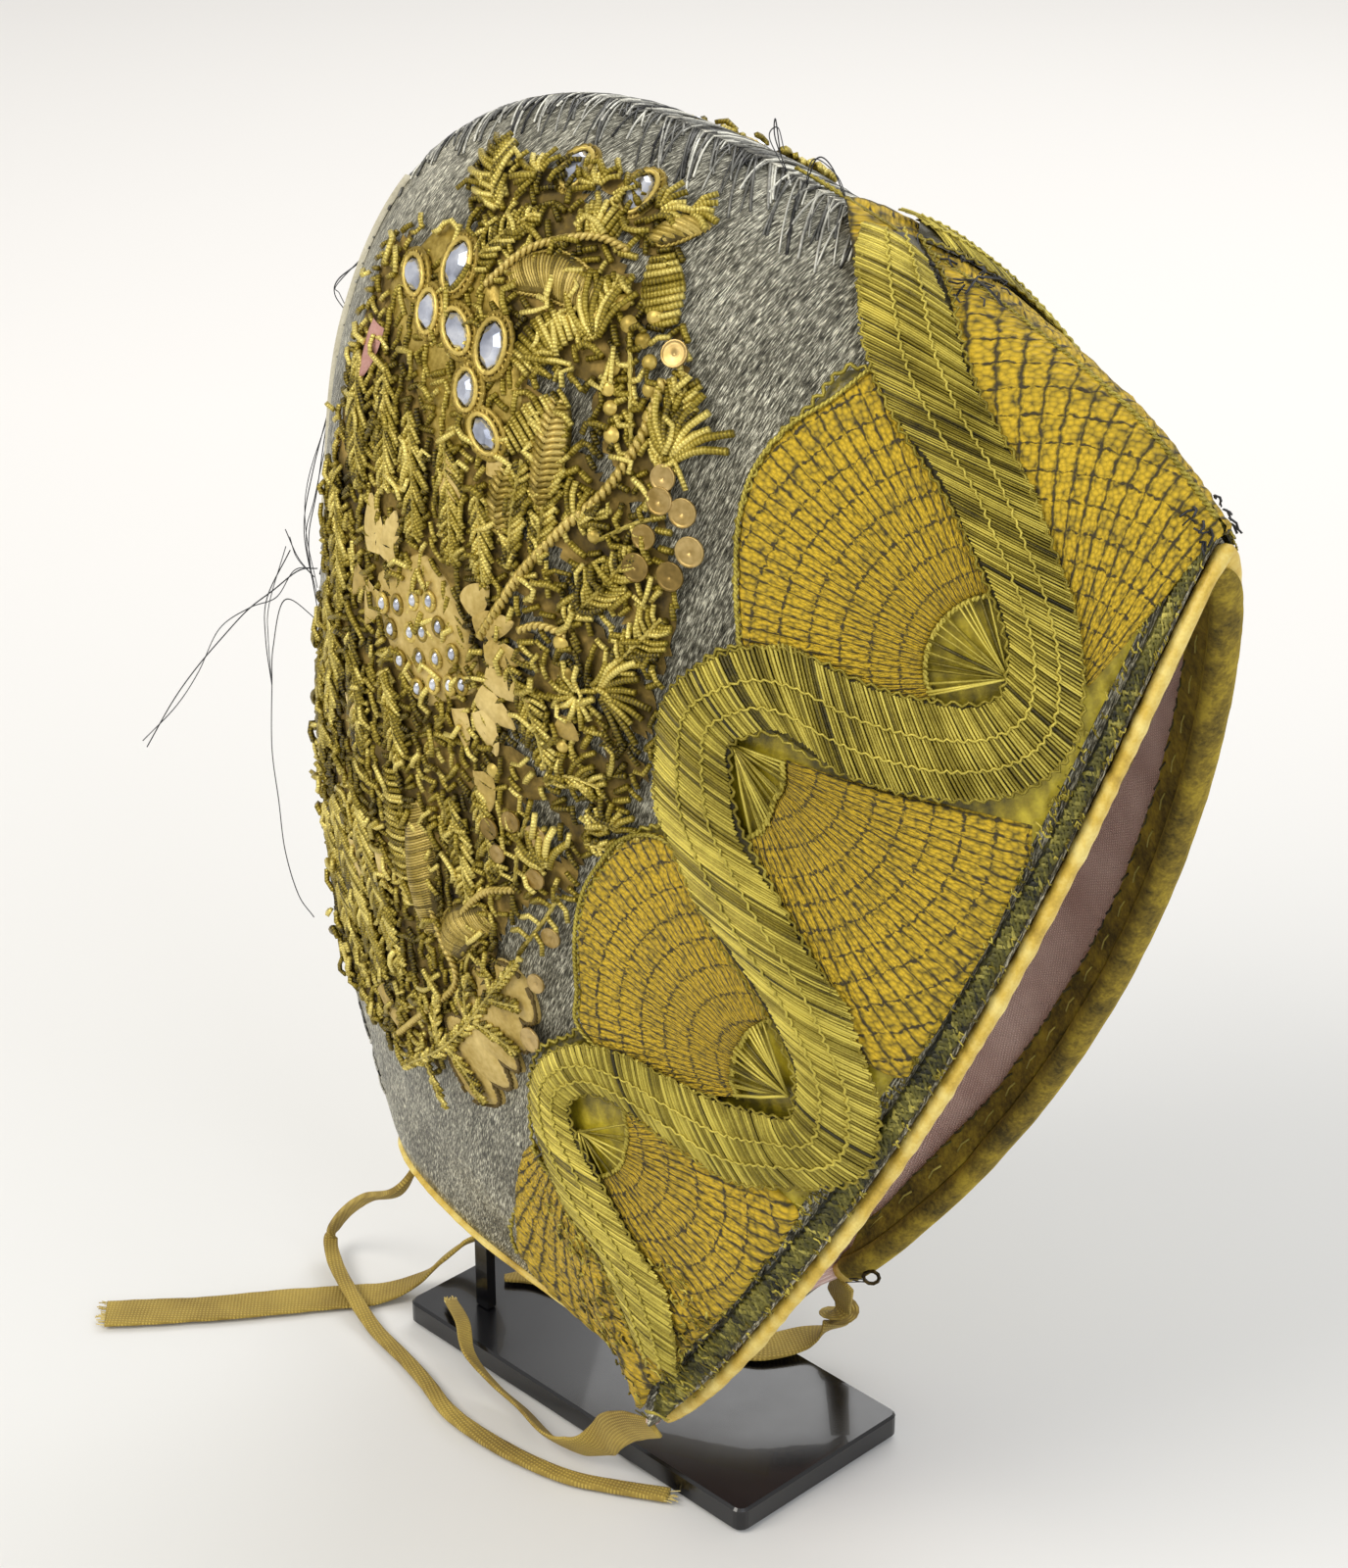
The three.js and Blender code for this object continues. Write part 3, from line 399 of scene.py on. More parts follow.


# A short coil of gilt wire: a tube with few faces, made once for each number of parts and bent along its
# stitches. The turns of its wire are in the material, as bump and painted shade between the turns.
def makeCoil(parts, sides):
    bpy.ops.object.select_all(action="DESELECT")
    bpy.ops.mesh.primitive_cylinder_add(vertices=sides, radius=1, depth=1, location=(0, 0, 0.5),
                                        end_fill_type="TRIFAN")
    made = bpy.context.object
    bpy.ops.object.transform_apply(location=True)
    mesh = made.data
    bpy.ops.object.mode_set(mode="EDIT")
    bpy.ops.mesh.select_all(action="DESELECT")
    bpy.ops.object.mode_set(mode="OBJECT")
    for edge in mesh.edges:
        a, b = (mesh.vertices[k].co for k in edge.vertices)
        edge.select = abs(a.z - b.z) > 0.5
    bpy.ops.object.mode_set(mode="EDIT")
    bpy.ops.mesh.select_mode(type="EDGE")
    bpy.ops.mesh.subdivide(number_cuts=parts - 1)
    bpy.ops.object.mode_set(mode="OBJECT")
    points = np.array([v.co for v in mesh.vertices])
    quads = np.array([f.vertices[:] for f in mesh.polygons if len(f.vertices) == 4])
    tris = np.array([f.vertices[:] for f in mesh.polygons if len(f.vertices) == 3])
    bpy.data.objects.remove(made)
    return points, quads, tris


coils = {parts: makeCoil(parts, 4 if parts < 3 else 5) for parts in (2, 3, 5)}


def addCoil(batch, places, radius, height=0.5, arch=0.0, part=2.2, tint=None):
    # places is a few points; height is the underside's height over the ground
    path, travel = smoothPath(places, 0.5)
    length = travel[-1]
    points, quads, tris = coils[min(coils, key=lambda parts: abs(parts - length / part))]
    along, right = sideways(path)
    place = points[:, 2] * length
    x, z = np.interp(place, travel, path[:, 0]), np.interp(place, travel, path[:, 1])
    rx, rz = np.interp(place, travel, right[:, 0]), np.interp(place, travel, right[:, 1])
    rise = height + radius + arch * np.sin(math.pi * points[:, 2])
    if path.shape[1] > 2:
        rise = rise + np.interp(place, travel, path[:, 2])
    laid = np.stack([x - rx * points[:, 0] * radius, z - rz * points[:, 0] * radius,
                     rise + points[:, 1] * radius], -1)
    uv = np.stack([points[:, 0], place], -1)  # the wire's turns follow the length in the material
    addPiece(batch, laid, quads, tris, uv, dice.uniform(0.2, 1) if tint is None else tint)


def turned(x, z, angle, length):
    a = math.radians(angle)
    return (x + math.cos(a) * length, z + math.sin(a) * length)


print("form and tools ready")


# Materials
def threadCloth(name, dark, mid, light, threadMm, leanDegrees, metal, rough):
    # woven metal thread: fine ribs, bumped and painted with highlights in dashes, dulled unevenly
    made, tree, shader = newMaterial(name, Metallic=metal, Roughness=rough)
    uv = uvPlace(tree)
    lean = mapped(tree, uv, turn=math.radians(leanDegrees))
    paintedHighlightDash = noise(tree, mapped(tree, lean, (100 / threadMm, 100 / (threadMm * 9), 1)), 1.0, 3.0, 0.65)
    streak = noise(tree, mapped(tree, lean, (100 / (threadMm * 5), 100 / (threadMm * 60), 1)), 1.0, 2.0)
    level = calc(tree, "MULTIPLY_ADD", streak, 0.16, calc(tree, "MULTIPLY", paintedHighlightDash, 0.72))
    level = calc(tree, "MULTIPLY_ADD", noise(tree, uv, 6.0, 4.0), 0.12, level)
    finishLook(tree, shader, level, [(0.38, dark), (0.5, mid), (0.62, light)], paintedHighlightDash, 0.9, 0.0006)
    return made


def tintedThread(name, dark, mid, light, metal, rough, grainMm, bumpMm, turnMm=None):
    # gilt or silk thread: each stitch has its own tint; on coils, painted shade darkens the grooves between
    # the turns
    made, tree, shader = newMaterial(name, Metallic=metal, Roughness=rough)
    tint = addNode(tree, "ShaderNodeAttribute", attribute_name="tint").outputs["Fac"]
    place = objectPlace(tree)
    height = noise(tree, place, 1000 / grainMm, 2.0)
    level = calc(tree, "MULTIPLY", tint, 0.5)
    level = calc(tree, "MULTIPLY_ADD", noise(tree, place, 90.0, 4.0, 0.7), 0.55, level)
    level = calc(tree, "MULTIPLY_ADD", height, 0.25, level)
    if turnMm:
        # the turns of the wire along a coil: bump, and painted shade in the grooves between them
        apart = addNode(tree, "ShaderNodeSeparateXYZ", {"Vector": uvPlace(tree)})
        height = calc(tree, "SINE", calc(tree, "MULTIPLY", apart.outputs["Y"], 2 * math.pi / turnMm))
        level = calc(tree, "MULTIPLY_ADD", height, 0.055, level)
    finishLook(tree, shader, level, [(0.4, dark), (0.64, mid), (0.9, light)], height, 0.6, bumpMm * mm)
    return made


silverCloth = threadCloth("silverThreadCloth", "#161511", "#716e5e", "#fffbe4", 0.2, 20, 0.5, 0.36)
bullion = tintedThread("giltBullionWire", "#2a2206", "#988526", "#ecd97a", 0.5, 0.38, 0.35, 0.09, turnMm=0.62)
satinThread = tintedThread("giltSatinThread", "#4a3d10", "#9a8434", "#dcc472", 0.45, 0.42, 0.3, 0.08)
braidThread = tintedThread("giltFlatBraidThread", "#2b2606", "#82741c", "#cdbd52", 0.4, 0.42, 0.3, 0.08)
darkBraid = tintedThread("tarnishedMetalBraid", "#17180a", "#645f22", "#c2b558", 0.3, 0.5, 0.4, 0.12)
copperSpangle = tintedThread("copperGiltSpangle", "#4d3f1a", "#93793e", "#d3b87c", 0.7, 0.36, 1.2, 0.05)
vellum = tintedThread("tanVellum", "#5c4a18", "#ad9348", "#dcc47e", 0.05, 0.6, 1.0, 0.25)
giltRim = tintedThread("giltFoilRim", "#3b2f0c", "#8f7828", "#dcc268", 0.5, 0.42, 0.8, 0.1)
darkStrand = tintedThread("tarnishedLooseThread", "#17171a", "#3f4044", "#7e7f80", 0.4, 0.5, 0.4, 0.05)
wornCotton = tintedThread("wornPaddingCotton", "#8f8a76", "#c3bda6", "#e4dfcc", 0.0, 0.9, 0.5, 0.2)
yellowSilk = tintedThread("yellowSilkRibbon", "#9c7c22", "#d3b247", "#efdc86", 0.0, 0.5, 0.5, 0.1)
silkUnder = tintedThread("oldGoldSilk", "#4a4208", "#8d7d12", "#c3b02c", 0.0, 0.42, 0.6, 0.15)
tapeCotton = tintedThread("frayedTapeCotton", "#8a7636", "#b9a254", "#dbc987", 0.0, 0.8, 0.35, 0.12)
agedBrass = tintedThread("agedBrassWire", "#2d2410", "#6d5a2c", "#a68d4c", 0.8, 0.4, 0.6, 0.03)


def laceMaterial():
    # silk chain stitch: looped knots in rows, three to a bar, with painted shade in the gaps between the bars
    # and rings and round each knot
    made, tree, shader = newMaterial("chainStitchedGoldSilk", Roughness=0.75)
    shader.inputs["Sheen Weight"].default_value = 0.03
    uv = uvPlace(tree)
    wobble = noise(tree, uv, 0.45, 3.0)
    apart = addNode(tree, "ShaderNodeSeparateXYZ", {"Vector": uv})
    # painted shade: the gaps between the bars and rings are darkened
    gapShadeMasks = []
    for axis, cell, low, high in (("Y", 3.0, 0.36, 0.485), ("X", 4.6, 0.44, 0.495)):
        share = calc(tree, "DIVIDE", apart.outputs[axis], cell)
        share = calc(tree, "FRACT", calc(tree, "MULTIPLY_ADD", wobble, 0.4, share))
        away = calc(tree, "ABSOLUTE", calc(tree, "SUBTRACT", share, 0.5))
        away = calc(tree, "MULTIPLY_ADD", noise(tree, uv, 0.8, 1.0), -0.26, away)
        mask = addNode(tree, "ShaderNodeMapRange", {"Value": calc(tree, "ADD", away, 0.12), "From Min": low,
                                                    "From Max": high, "To Min": 1.0, "To Max": 0.1})
        gapShadeMasks.append(mask.outputs["Result"])
    knots = addNode(tree, "ShaderNodeTexVoronoi", {"Vector": uv, "Scale": 1.0, "Randomness": 0.7})
    tint = addNode(tree, "ShaderNodeAttribute", attribute_name="tint").outputs["Fac"]
    # painted shade round each knot: bright in its middle, darker towards its edge
    paintedKnotLight = calc(tree, "MULTIPLY", calc(tree, "MULTIPLY_ADD", knots.outputs["Distance"], -1.15, 1.2), tint)
    level = calc(tree, "MULTIPLY", paintedKnotLight, calc(tree, "MULTIPLY", *gapShadeMasks))
    stops = [(0.05, "#33290a"), (0.2, "#6a5a0a"), (0.42, "#a68a10"), (0.78, "#d2ae1c")]
    finishLook(tree, shader, level, stops, level, 1.0, 0.0006)
    return made


def weaveMaterial(name, dark, light, threadMm, soft, sheen):
    # plain weave: warp and weft cross over one another, with slubs and faded patches
    made, tree, shader = newMaterial(name, Roughness=soft)
    shader.inputs["Sheen Weight"].default_value = sheen
    uv = uvPlace(tree)
    waves = []
    for turn in (0, math.pi / 2):
        threads = addNode(tree, "ShaderNodeTexWave", {
            "Vector": mapped(tree, uv, turn=turn + 0.12), "Scale": 100 / threadMm / 6.283 * 2,
            "Distortion": 1.2, "Detail": 2.0})
        waves.append(threads.outputs["Fac"])
    both = calc(tree, "MULTIPLY", *waves)
    level = calc(tree, "MULTIPLY_ADD", both, 0.4, noise(tree, uv, 5.0, 5.0))
    finishLook(tree, shader, level, [(0.35, dark), (0.9, light)], both, 0.7, 0.0003)
    return made


def velvetMaterial():
    # silk velvet: short pile that is dark head-on and pale at a glance, rubbed in patches
    made, tree, shader = newMaterial("oliveSilkVelvet", Roughness=0.95)
    shader.inputs["Sheen Weight"].default_value = 0.7
    shader.inputs["Sheen Roughness"].default_value = 0.4
    shader.inputs["Sheen Tint"].default_value = colour("#c0a838")
    place = objectPlace(tree)
    patch = noise(tree, place, 130.0, 5.0, 0.7)
    level = calc(tree, "MULTIPLY_ADD", noise(tree, place, 1500.0, 2.0), 0.3, patch)
    stops = [(0.5, "#3d3208"), (0.66, "#76631a"), (0.82, "#a38d28")]
    finishLook(tree, shader, level, stops, level, 0.8, 0.0004)
    return made


def coatedSteel():
    # steel under a gloss black coat, with faint rubbing and dust that soften its gloss
    made, tree, shader = newMaterial("glossBlackCoatedSteel", IOR=1.49, Roughness=0.1)
    shader.inputs["Base Color"].default_value = colour("#08080b")
    shader.inputs["Coat Weight"].default_value = 0.3
    smear = noise(tree, objectPlace(tree), 60.0, 6.0, 0.7)
    rub = addNode(tree, "ShaderNodeMapRange", {"Value": smear, "To Min": 0.12, "To Max": 0.32})
    tree.links.new(rub.outputs["Result"], shader.inputs["Roughness"])
    return made


def foiledGlass():
    # cut glass on foil: a pale mirror, clouded by age
    made, tree, shader = newMaterial("foiledCutGlass", Metallic=0.7, Roughness=0.16)
    cloud = noise(tree, objectPlace(tree), 300.0, 3.0)
    finishLook(tree, shader, cloud, [(0.3, "#9a9fae"), (0.55, "#ccd0dc"), (0.7, "#eceef4")])
    return made


lace = laceMaterial()
# painted light: the linen's colours are set lighter than the cloth, for the shaded inside of the opening
linen = weaveMaterial("rosyLinenWeave", "#b58c80", "#ffe6da", 0.5, 0.95, 0.1)
velvet = velvetMaterial()
blackCoat = coatedSteel()
mirrorGlass = foiledGlass()

# Stage: a pale sweep with painted light, paler towards the back, and soft light
bpy.ops.object.select_all(action="DESELECT")
bpy.ops.mesh.primitive_plane_add(size=8, location=(0, 0, -0.0005))
floor = bpy.context.object
floor.name = "floor"
floorMaterial, tree, shader = newMaterial("paleSweepPaper", Roughness=0.85)
apart = addNode(tree, "ShaderNodeSeparateXYZ",
                {"Vector": mapped(tree, objectPlace(tree), turn=math.radians(-cameraSet["azimuth"]))})
# painted light: the floor's colour grows paler away from the camera
paintedLightFade = addNode(tree, "ShaderNodeMapRange", {"Value": apart.outputs["Y"], "From Min": 0.0, "From Max": 0.6})
finishLook(tree, shader, paintedLightFade.outputs["Result"], [(0.0, "#dfdfdd"), (1.0, "#edebe8")])
floor.data.materials.append(floorMaterial)

world = bpy.data.worlds.new("studio")
world.use_nodes = True
world.node_tree.nodes["Background"].inputs["Color"].default_value = colour("#f8f7f5")
world.node_tree.nodes["Background"].inputs["Strength"].default_value = 0.68
bpy.context.scene.world = world


def softBox(name, place, size, power, tone):
    light = bpy.data.lights.new(name, "AREA")
    light.shape = "RECTANGLE"
    light.size, light.size_y = size
    light.energy = power
    light.color = colour(tone)[:3]
    made = bpy.data.objects.new(name, light)
    made.location = place
    made.rotation_euler = (Vector((0, 0, 0.13)) - Vector(place)).to_track_quat("-Z", "Y").to_euler()
    bpy.context.scene.collection.objects.link(made)


softBox("keyLight", (-0.35, -1.15, 1.25), (0.9, 0.7), 15, "#fffaf2")
softBox("fillLight", (1.35, -0.35, 0.9), (1.0, 1.0), 8, "#f2f6ff")
softBox("backLight", (-0.3, 1.1, 1.2), (1.2, 0.8), 8, "#ffffff")

# Ties: woven tape and a folded cord, laid on the floor as in the photo
# x, y, z in hundreds of millimetres, width as a share of the tape's, and how far it stands on edge
ties = {
    "nape_tape_folded": {"width": 3.0, "thick": 1.5, "farEnd": "bare", "rows": [
        (-0.477, -0.108, 0.391, 1, 0.3), (-0.519, -0.145, 0.3, 1, 0.3), (-0.637, -0.115, 0.22, 1, 0.3),
        (-0.741, -0.081, 0.12, 1, 0.2), (-0.787, -0.076, 0.045, 1, 0.1), (-0.735, -0.121, 0.028, 1, 0),
        (-0.64, -0.177, 0.026, 1, 0), (-0.521, -0.228, 0.009, 1, 0), (-0.407, -0.265, 0.009, 1, 0),
        (-0.319, -0.298, 0.009, 1, 0), (-0.228, -0.338, 0.009, 1.1, 0), (-0.133, -0.357, 0.009, 1.15, 0),
        (-0.022, -0.363, 0.009, 1.15, 0), (0.087, -0.353, 0.009, 1.1, 0), (0.174, -0.322, 0.009, 1.1, 0),
        (0.272, -0.278, 0.009, 1.2, 0)]},
    "nape_tape_flat": {"width": 8.4, "thick": 0.9, "farEnd": "bare", "rows": [
        (-0.486, -0.021, 0.386, 0.4, 0.6), (-0.43, 0.04, 0.24, 0.35, 0.6), (-0.449, 0.033, 0.14, 0.3, 0.5),
        (-0.493, 0.012, 0.1, 0.28, 0.4), (-0.512, -0.035, 0.075, 0.3, 0.3),
        (-0.545, -0.066, 0.035, 0.55, 0.1),
        (-0.607, -0.133, 0.006, 0.85, 0), (-0.728, -0.259, 0.006, 1, 0), (-0.846, -0.386, 0.006, 1, 0),
        (-0.994, -0.524, 0.006, 1.05, 0)]},
    "ear_tape_near": {"width": 8.4, "thick": 0.9, "farEnd": "knot", "rows": [
        (0.307, -0.362, 0.228, 0.5, 0.8), (0.23, -0.34, 0.185, 0.8, 0.8), (0.175, -0.325, 0.14, 0.9, 0.8),
        (0.125, -0.305, 0.075, 0.9, 0.7), (0.07, -0.31, 0.045, 0.9, 0.6), (0.0, -0.305, 0.035, 0.6, 0.5),
        (-0.1, -0.265, 0.028, 0.5, 0.5), (-0.19, -0.245, 0.035, 0.4, 0.5), (-0.27, -0.225, 0.06, 0.35, 0.3),
        (-0.335, -0.17, 0.075, 0.35, 0.1), (-0.41, -0.12, 0.065, 0.3, 0)]},
    "ear_tape_far": {"width": 8.4, "thick": 0.9, "farEnd": "bare", "rows": [
        (0.314, 0.222, 0.233, 0.6, 0.6), (0.275, 0.262, 0.15, 0.9, 0.7), (0.272, 0.262, 0.1, 1, 0.6),
        (0.23, 0.225, 0.068, 1, 0.1), (0.16, 0.136, 0.06, 1, 0), (0.02, 0.1, 0.06, 1, 0),
        (-0.17, 0.085, 0.06, 0.9, 0), (-0.32, 0.065, 0.06, 0.7, 0), (-0.385, 0.015, 0.06, 0.25, 0)]},
}


def makeTie(name, tie):
    steps = 16 * (len(tie["rows"]) - 1)
    rows = smoothRows(tie["rows"], np.linspace(0, 1, steps + 1))
    middle = rows[:, :3] * 100
    along = np.gradient(middle, axis=0)
    along /= np.linalg.norm(along, axis=1, keepdims=True)
    level = np.stack([-along[:, 1], along[:, 0], np.zeros(len(along))], -1)
    level /= np.linalg.norm(level, axis=1, keepdims=True) + 1e-9
    upright = np.cross(along, level)
    lean = (math.pi / 2 * rows[:, 4])[:, None]
    wide = level * np.cos(lean) + upright * np.sin(lean)
    face = np.cross(along, wide)
    half = tie["width"] * rows[:, 3] / 2
    travel = travelOf(middle)
    half = half * (1 + 0.03 * wave(travel, 3, 14))
    folded = tie["width"] < 5
    around = 20
    turn = (np.arange(around) + 0.5) * 2 * math.pi / around
    # the section: a flat band with rounded edges; the folded tape shows the groove between its edges
    across = np.sign(np.cos(turn)) * np.abs(np.cos(turn)) ** 0.6
    high = np.sign(np.sin(turn)) * np.abs(np.sin(turn)) ** 0.5
    if folded:
        high = high * (1 - 0.35 * np.exp(-(across / 0.22) ** 2) * (np.sin(turn) > 0))
    thick = tie["thick"] / 2
    cup = (0.0 if folded else 0.25) * np.maximum(0, rows[:, 4])[:, None] * (across[None, :] ** 2 - 0.4)
    reach = np.abs(wide[:, 2]) * half + np.abs(face[:, 2]) * thick
    middle[:, 2] = np.maximum(middle[:, 2], reach + 0.1)
    points = (middle[:, None, :] + wide[:, None, :] * (half[:, None] * across[None, :])[..., None]
              + face[:, None, :] * (thick * high[None, :] + cup)[..., None])
    points = points.reshape(-1, 3)
    quads, tris = tubeFaces(steps + 1, around)
    uv = np.stack([np.repeat(travel, around) / 100, np.tile(across * tie["width"] / 2, steps + 1) / 100], -1)
    # the outline runs the other way round than a cord's on the coif, so its faces are turned
    made = objectFrom(name + "_cloth", points * mm, quads[:, ::-1], tris[:, ::-1], uv,
                      np.full(len(points), 0.5))
    settle(made, tapeWeave, [name])
    return made


tapeWeave = weaveMaterial("wovenTapeCotton", "#735c1c", "#c9ae50", 0.7, 0.8, 0.05)
for tieName, tie in ties.items():
    makeTie(tieName, tie)
print("camera, stage and ties ready")


# Cloth layers: a grid laid on the form and thickened inwards
def clothShell(name, rows, columns, placeAt, thick, material, replaced):
    bpy.ops.object.select_all(action="DESELECT")
    bpy.ops.mesh.primitive_grid_add(x_subdivisions=rows, y_subdivisions=columns, size=2)
    made = bpy.context.object
    made.name = name
    mesh = made.data
    flat = np.empty(len(mesh.vertices) * 3)
    mesh.vertices.foreach_get("co", flat)
    shares = (flat.reshape(-1, 3)[:, :2] + 1) / 2
    points, uv, tint = placeAt(shares[:, 0], shares[:, 1])
    mesh.vertices.foreach_set("co", points.ravel())
    mesh.update()
    centres = np.array([f.center[:] for f in mesh.polygons]) - np.array([0.02, coif["planeY"] * mm, 0.12])
    normals = np.array([f.normal[:] for f in mesh.polygons])
    if np.sum(centres * normals) < 0:
        bpy.ops.object.mode_set(mode="EDIT")
        bpy.ops.mesh.select_all(action="SELECT")
        bpy.ops.mesh.flip_normals()
        bpy.ops.object.mode_set(mode="OBJECT")
    while mesh.uv_layers:
        mesh.uv_layers.remove(mesh.uv_layers[0])
    loops = np.empty(len(mesh.loops), int)
    mesh.loops.foreach_get("vertex_index", loops)
    mesh.uv_layers.new(name="cloth").data.foreach_set("uv", uv[loops].ravel())
    mesh.attributes.new("tint", "FLOAT", "POINT").data.foreach_set("value", tint)
    bpy.ops.object.shade_smooth()
    wall = made.modifiers.new("wall", "SOLIDIFY")
    wall.thickness, wall.offset = thick * mm, -1
    bpy.ops.object.modifier_apply(modifier="wall")
    return settle(made, material, replaced)


def flatPlace(around, across):
    down = lookUp(fromRidge, around * aroundSteps, np.abs(across) * (acrossSteps // 2))
    return flatAt(around, np.interp(around, aroundLine, ribLengths) - down)


def alongEdge(s, w):
    # s runs from the near ear, -206, over the ridge to the far ear, 206; w goes in from the front edge
    r = frontLength - np.abs(s)
    around = np.interp(ribAngles[0] + np.degrees(w / np.maximum(r, 12)), ribAngles, aroundLine)
    share = np.clip(1 - np.abs(s) / frontLength, 0, 1)
    return around, lookUp(acrossOfShare, around * aroundSteps, share * shareSteps) * np.where(s < 0, -1, 1)


def layEdge(points, side=0):
    around, across = alongEdge(points[:, 0], points[:, 1])
    return onCoif(around, across, points[:, 2])


frontLength = ribLengths[0]
layers = {"ground": 1.2, "liningTop": -1.5, "lining": 0.8, "facingTop": -2.85, "facing": 0.8,
          "facingWidth": 5.4}


def groundPlace(side):
    def placeAt(u, v):
        across = side * (1 - (1 - v) ** 1.6)
        puckers = 0.12 * wave(u * 300, 5, 9) * wave(v * 200, 6, 40)
        return onCoif(u, across, puckers), flatPlace(u, across) / 100, np.full(len(u), 0.5)
    return placeAt


for sideName, side in (("near", -1), ("far", 1)):
    half = clothShell(f"silver_cloth_{sideName}", 72, 96, groundPlace(side), layers["ground"], silverCloth,
                      [f"silver_ground_{sideName}"])


def liningPlace(u, v):
    across = 2 * v - 1
    sag = 0.25 * wave(u * 200, 8, 35) * (1 - np.abs(across))
    uv = flatPlace(u, across) * np.stack([np.sign(across + 1e-6), u * 0 + 1], -1) / 100
    return onCoif(u, across, layers["liningTop"] - np.maximum(0, sag)), uv, np.full(len(u), 0.5)


liningCloth = clothShell("linen_cloth", 44, 120, liningPlace, layers["lining"], linen,
                         ["linen_lining"])


def facingPlace(u, v):
    s = (2 * v - 1) * frontLength * 0.985
    wide = 0.55 + 0.45 * np.exp(-(s / 60) ** 2)  # the band is widest at the crown
    w = u * layers["facingWidth"] * wide * (1 + 0.06 * wave(s, 12, 40))
    around, across = alongEdge(s, w)
    return onCoif(around, across, np.full(len(u), layers["facingTop"]) + 0.12 * wave(s, 13, 12) * u), \
        np.stack([s, w], -1) / 100, np.full(len(u), 0.5)


velvetBand = clothShell("velvet_band", 6, 320, facingPlace, layers["facing"], velvet,
                        ["velvet_facing"])

# Long running stitches that hold the velvet, seen from inside
stitches = newBatch()
under = layers["facingTop"] - layers["facing"] - 0.12
for k, s in enumerate(np.arange(-195, 196, 4.6)):
    inner = 4.9 * (0.55 + 0.45 * math.exp(-(s / 60) ** 2))
    places = np.array([(s, inner + 0.3 * math.sin(k)), (s + 1.4, inner), (s + 3.1, inner + 0.3)])
    addTube(stitches, places, 0.14, under, sides=5, tint=0.2)
    if k % 2 == 0:
        places = np.array([(s, 0.5 * inner), (s + 2.2, 0.5 * inner + 0.2), (s + 4.0, 0.5 * inner - 0.1)])
        addTube(stitches, places, 0.12, under, sides=5, tint=0.9)


def layOnce(batch, name, material, replaced, place):
    points, quads, tris, uv, tint = gathered(batch)
    made = objectFrom(name, place(points), quads, tris, uv, tint)
    print(name, "faces", len(quads) + len(tris))
    return settle(made, material, replaced)


layOnce(stitches, "facing_stitches", darkBraid, [], layEdge)

# Silk bindings, gathered into small ripples as they turn the edge
bindings = {
    "front_binding": {"around": 0.0, "inward": 0.01, "most": 0.997, "width": 3.0, "rise": 1.0, "foot": -3.95},
    "nape_binding": {"around": 1.0, "inward": 0.99, "most": 0.95, "width": 1.5, "rise": 0.9, "foot": -3.95},
}


def edgeFrame(b, across):
    # places on an edge of the coif in millimetres, with the ways off the edge and out of the cloth
    def lay(around, height):
        return onCoif(np.full(len(across), around), across, np.full(len(across), height)) / mm
    edge = lay(b["around"], 0.0)
    away = edge - lay(b["inward"], 0.0)
    away /= np.linalg.norm(away, axis=1, keepdims=True)
    return edge, away, lay(b["around"], 1.0) - edge


for name, b in bindings.items():
    sides, count = 12, 640
    edge, away, outward = edgeFrame(b, np.linspace(-b["most"], b["most"], count))
    travel = travelOf(edge)
    ripple = 0.045 * np.sin(travel * 2 * math.pi / 4.6 + 4 * np.sin(travel / 9)) + 0.1 * wave(travel, 9, 17)
    turn = 2 * math.pi * (np.arange(sides) + 0.5) / sides
    middle, half = (b["rise"] + b["foot"]) / 2, (b["rise"] - b["foot"]) / 2
    lift = middle + half * np.sin(turn)[None, :] * (1 + ripple[:, None] * 0.25)
    beyond = 0.3 + b["width"] / 2 * (1 + np.cos(turn)[None, :] * (1 + ripple[:, None]))
    points = edge[:, None, :] + outward[:, None, :] * lift[..., None] + away[:, None, :] * beyond[..., None]
    quads, tris = tubeFaces(count, sides)
    way = 1 if b["around"] == 0 else -1
    uv = np.stack([np.repeat(travel, sides), np.tile(turn, count)], -1)
    # painted light and shade: the silk is lighter on the crests of its ripples and darker in the troughs
    tint = np.repeat(np.clip(0.6 + 2.2 * ripple, 0, 1), sides)
    made = objectFrom(name + "_silk", points.reshape(-1, 3) * mm, quads[:, ::way], tris[:, ::way], uv, tint)
    settle(made, yellowSilk, [name])

# The velvet turns over the inner half of the binding, as far as the edge
velvetRoll = {"from": -170, "to": -42, "farMore": 85, "proud": 0.22, "thick": 0.4}


def rollPlace(u, v):
    b = bindings["front_binding"]
    across = (2 * v - 1) * 0.99
    edge, away, outward = edgeFrame(b, across)
    farther = np.clip((across + 0.1) / 0.35, 0, 1)
    last = velvetRoll["to"] + velvetRoll["farMore"] * farther * farther * (3 - 2 * farther)
    turn = np.radians(velvetRoll["from"] + (last - velvetRoll["from"]) * u)
    middle, half = (b["rise"] + b["foot"]) / 2, (b["rise"] - b["foot"]) / 2 + velvetRoll["proud"]
    lift = middle + half * np.sin(turn)
    beyond = 0.3 + b["width"] / 2 + (b["width"] / 2 + velvetRoll["proud"]) * np.cos(turn)
    beyond = beyond + 0.1 * wave(across * 200, 61, 13)
    return ((edge + outward * lift[:, None] + away * beyond[:, None]) * mm,
            np.stack([across * 2.06, u * 0.06], -1), np.full(len(u), 0.5))


velvetEdge = clothShell("velvet_roll", 8, 300, rollPlace, velvetRoll["thick"], velvet, [])

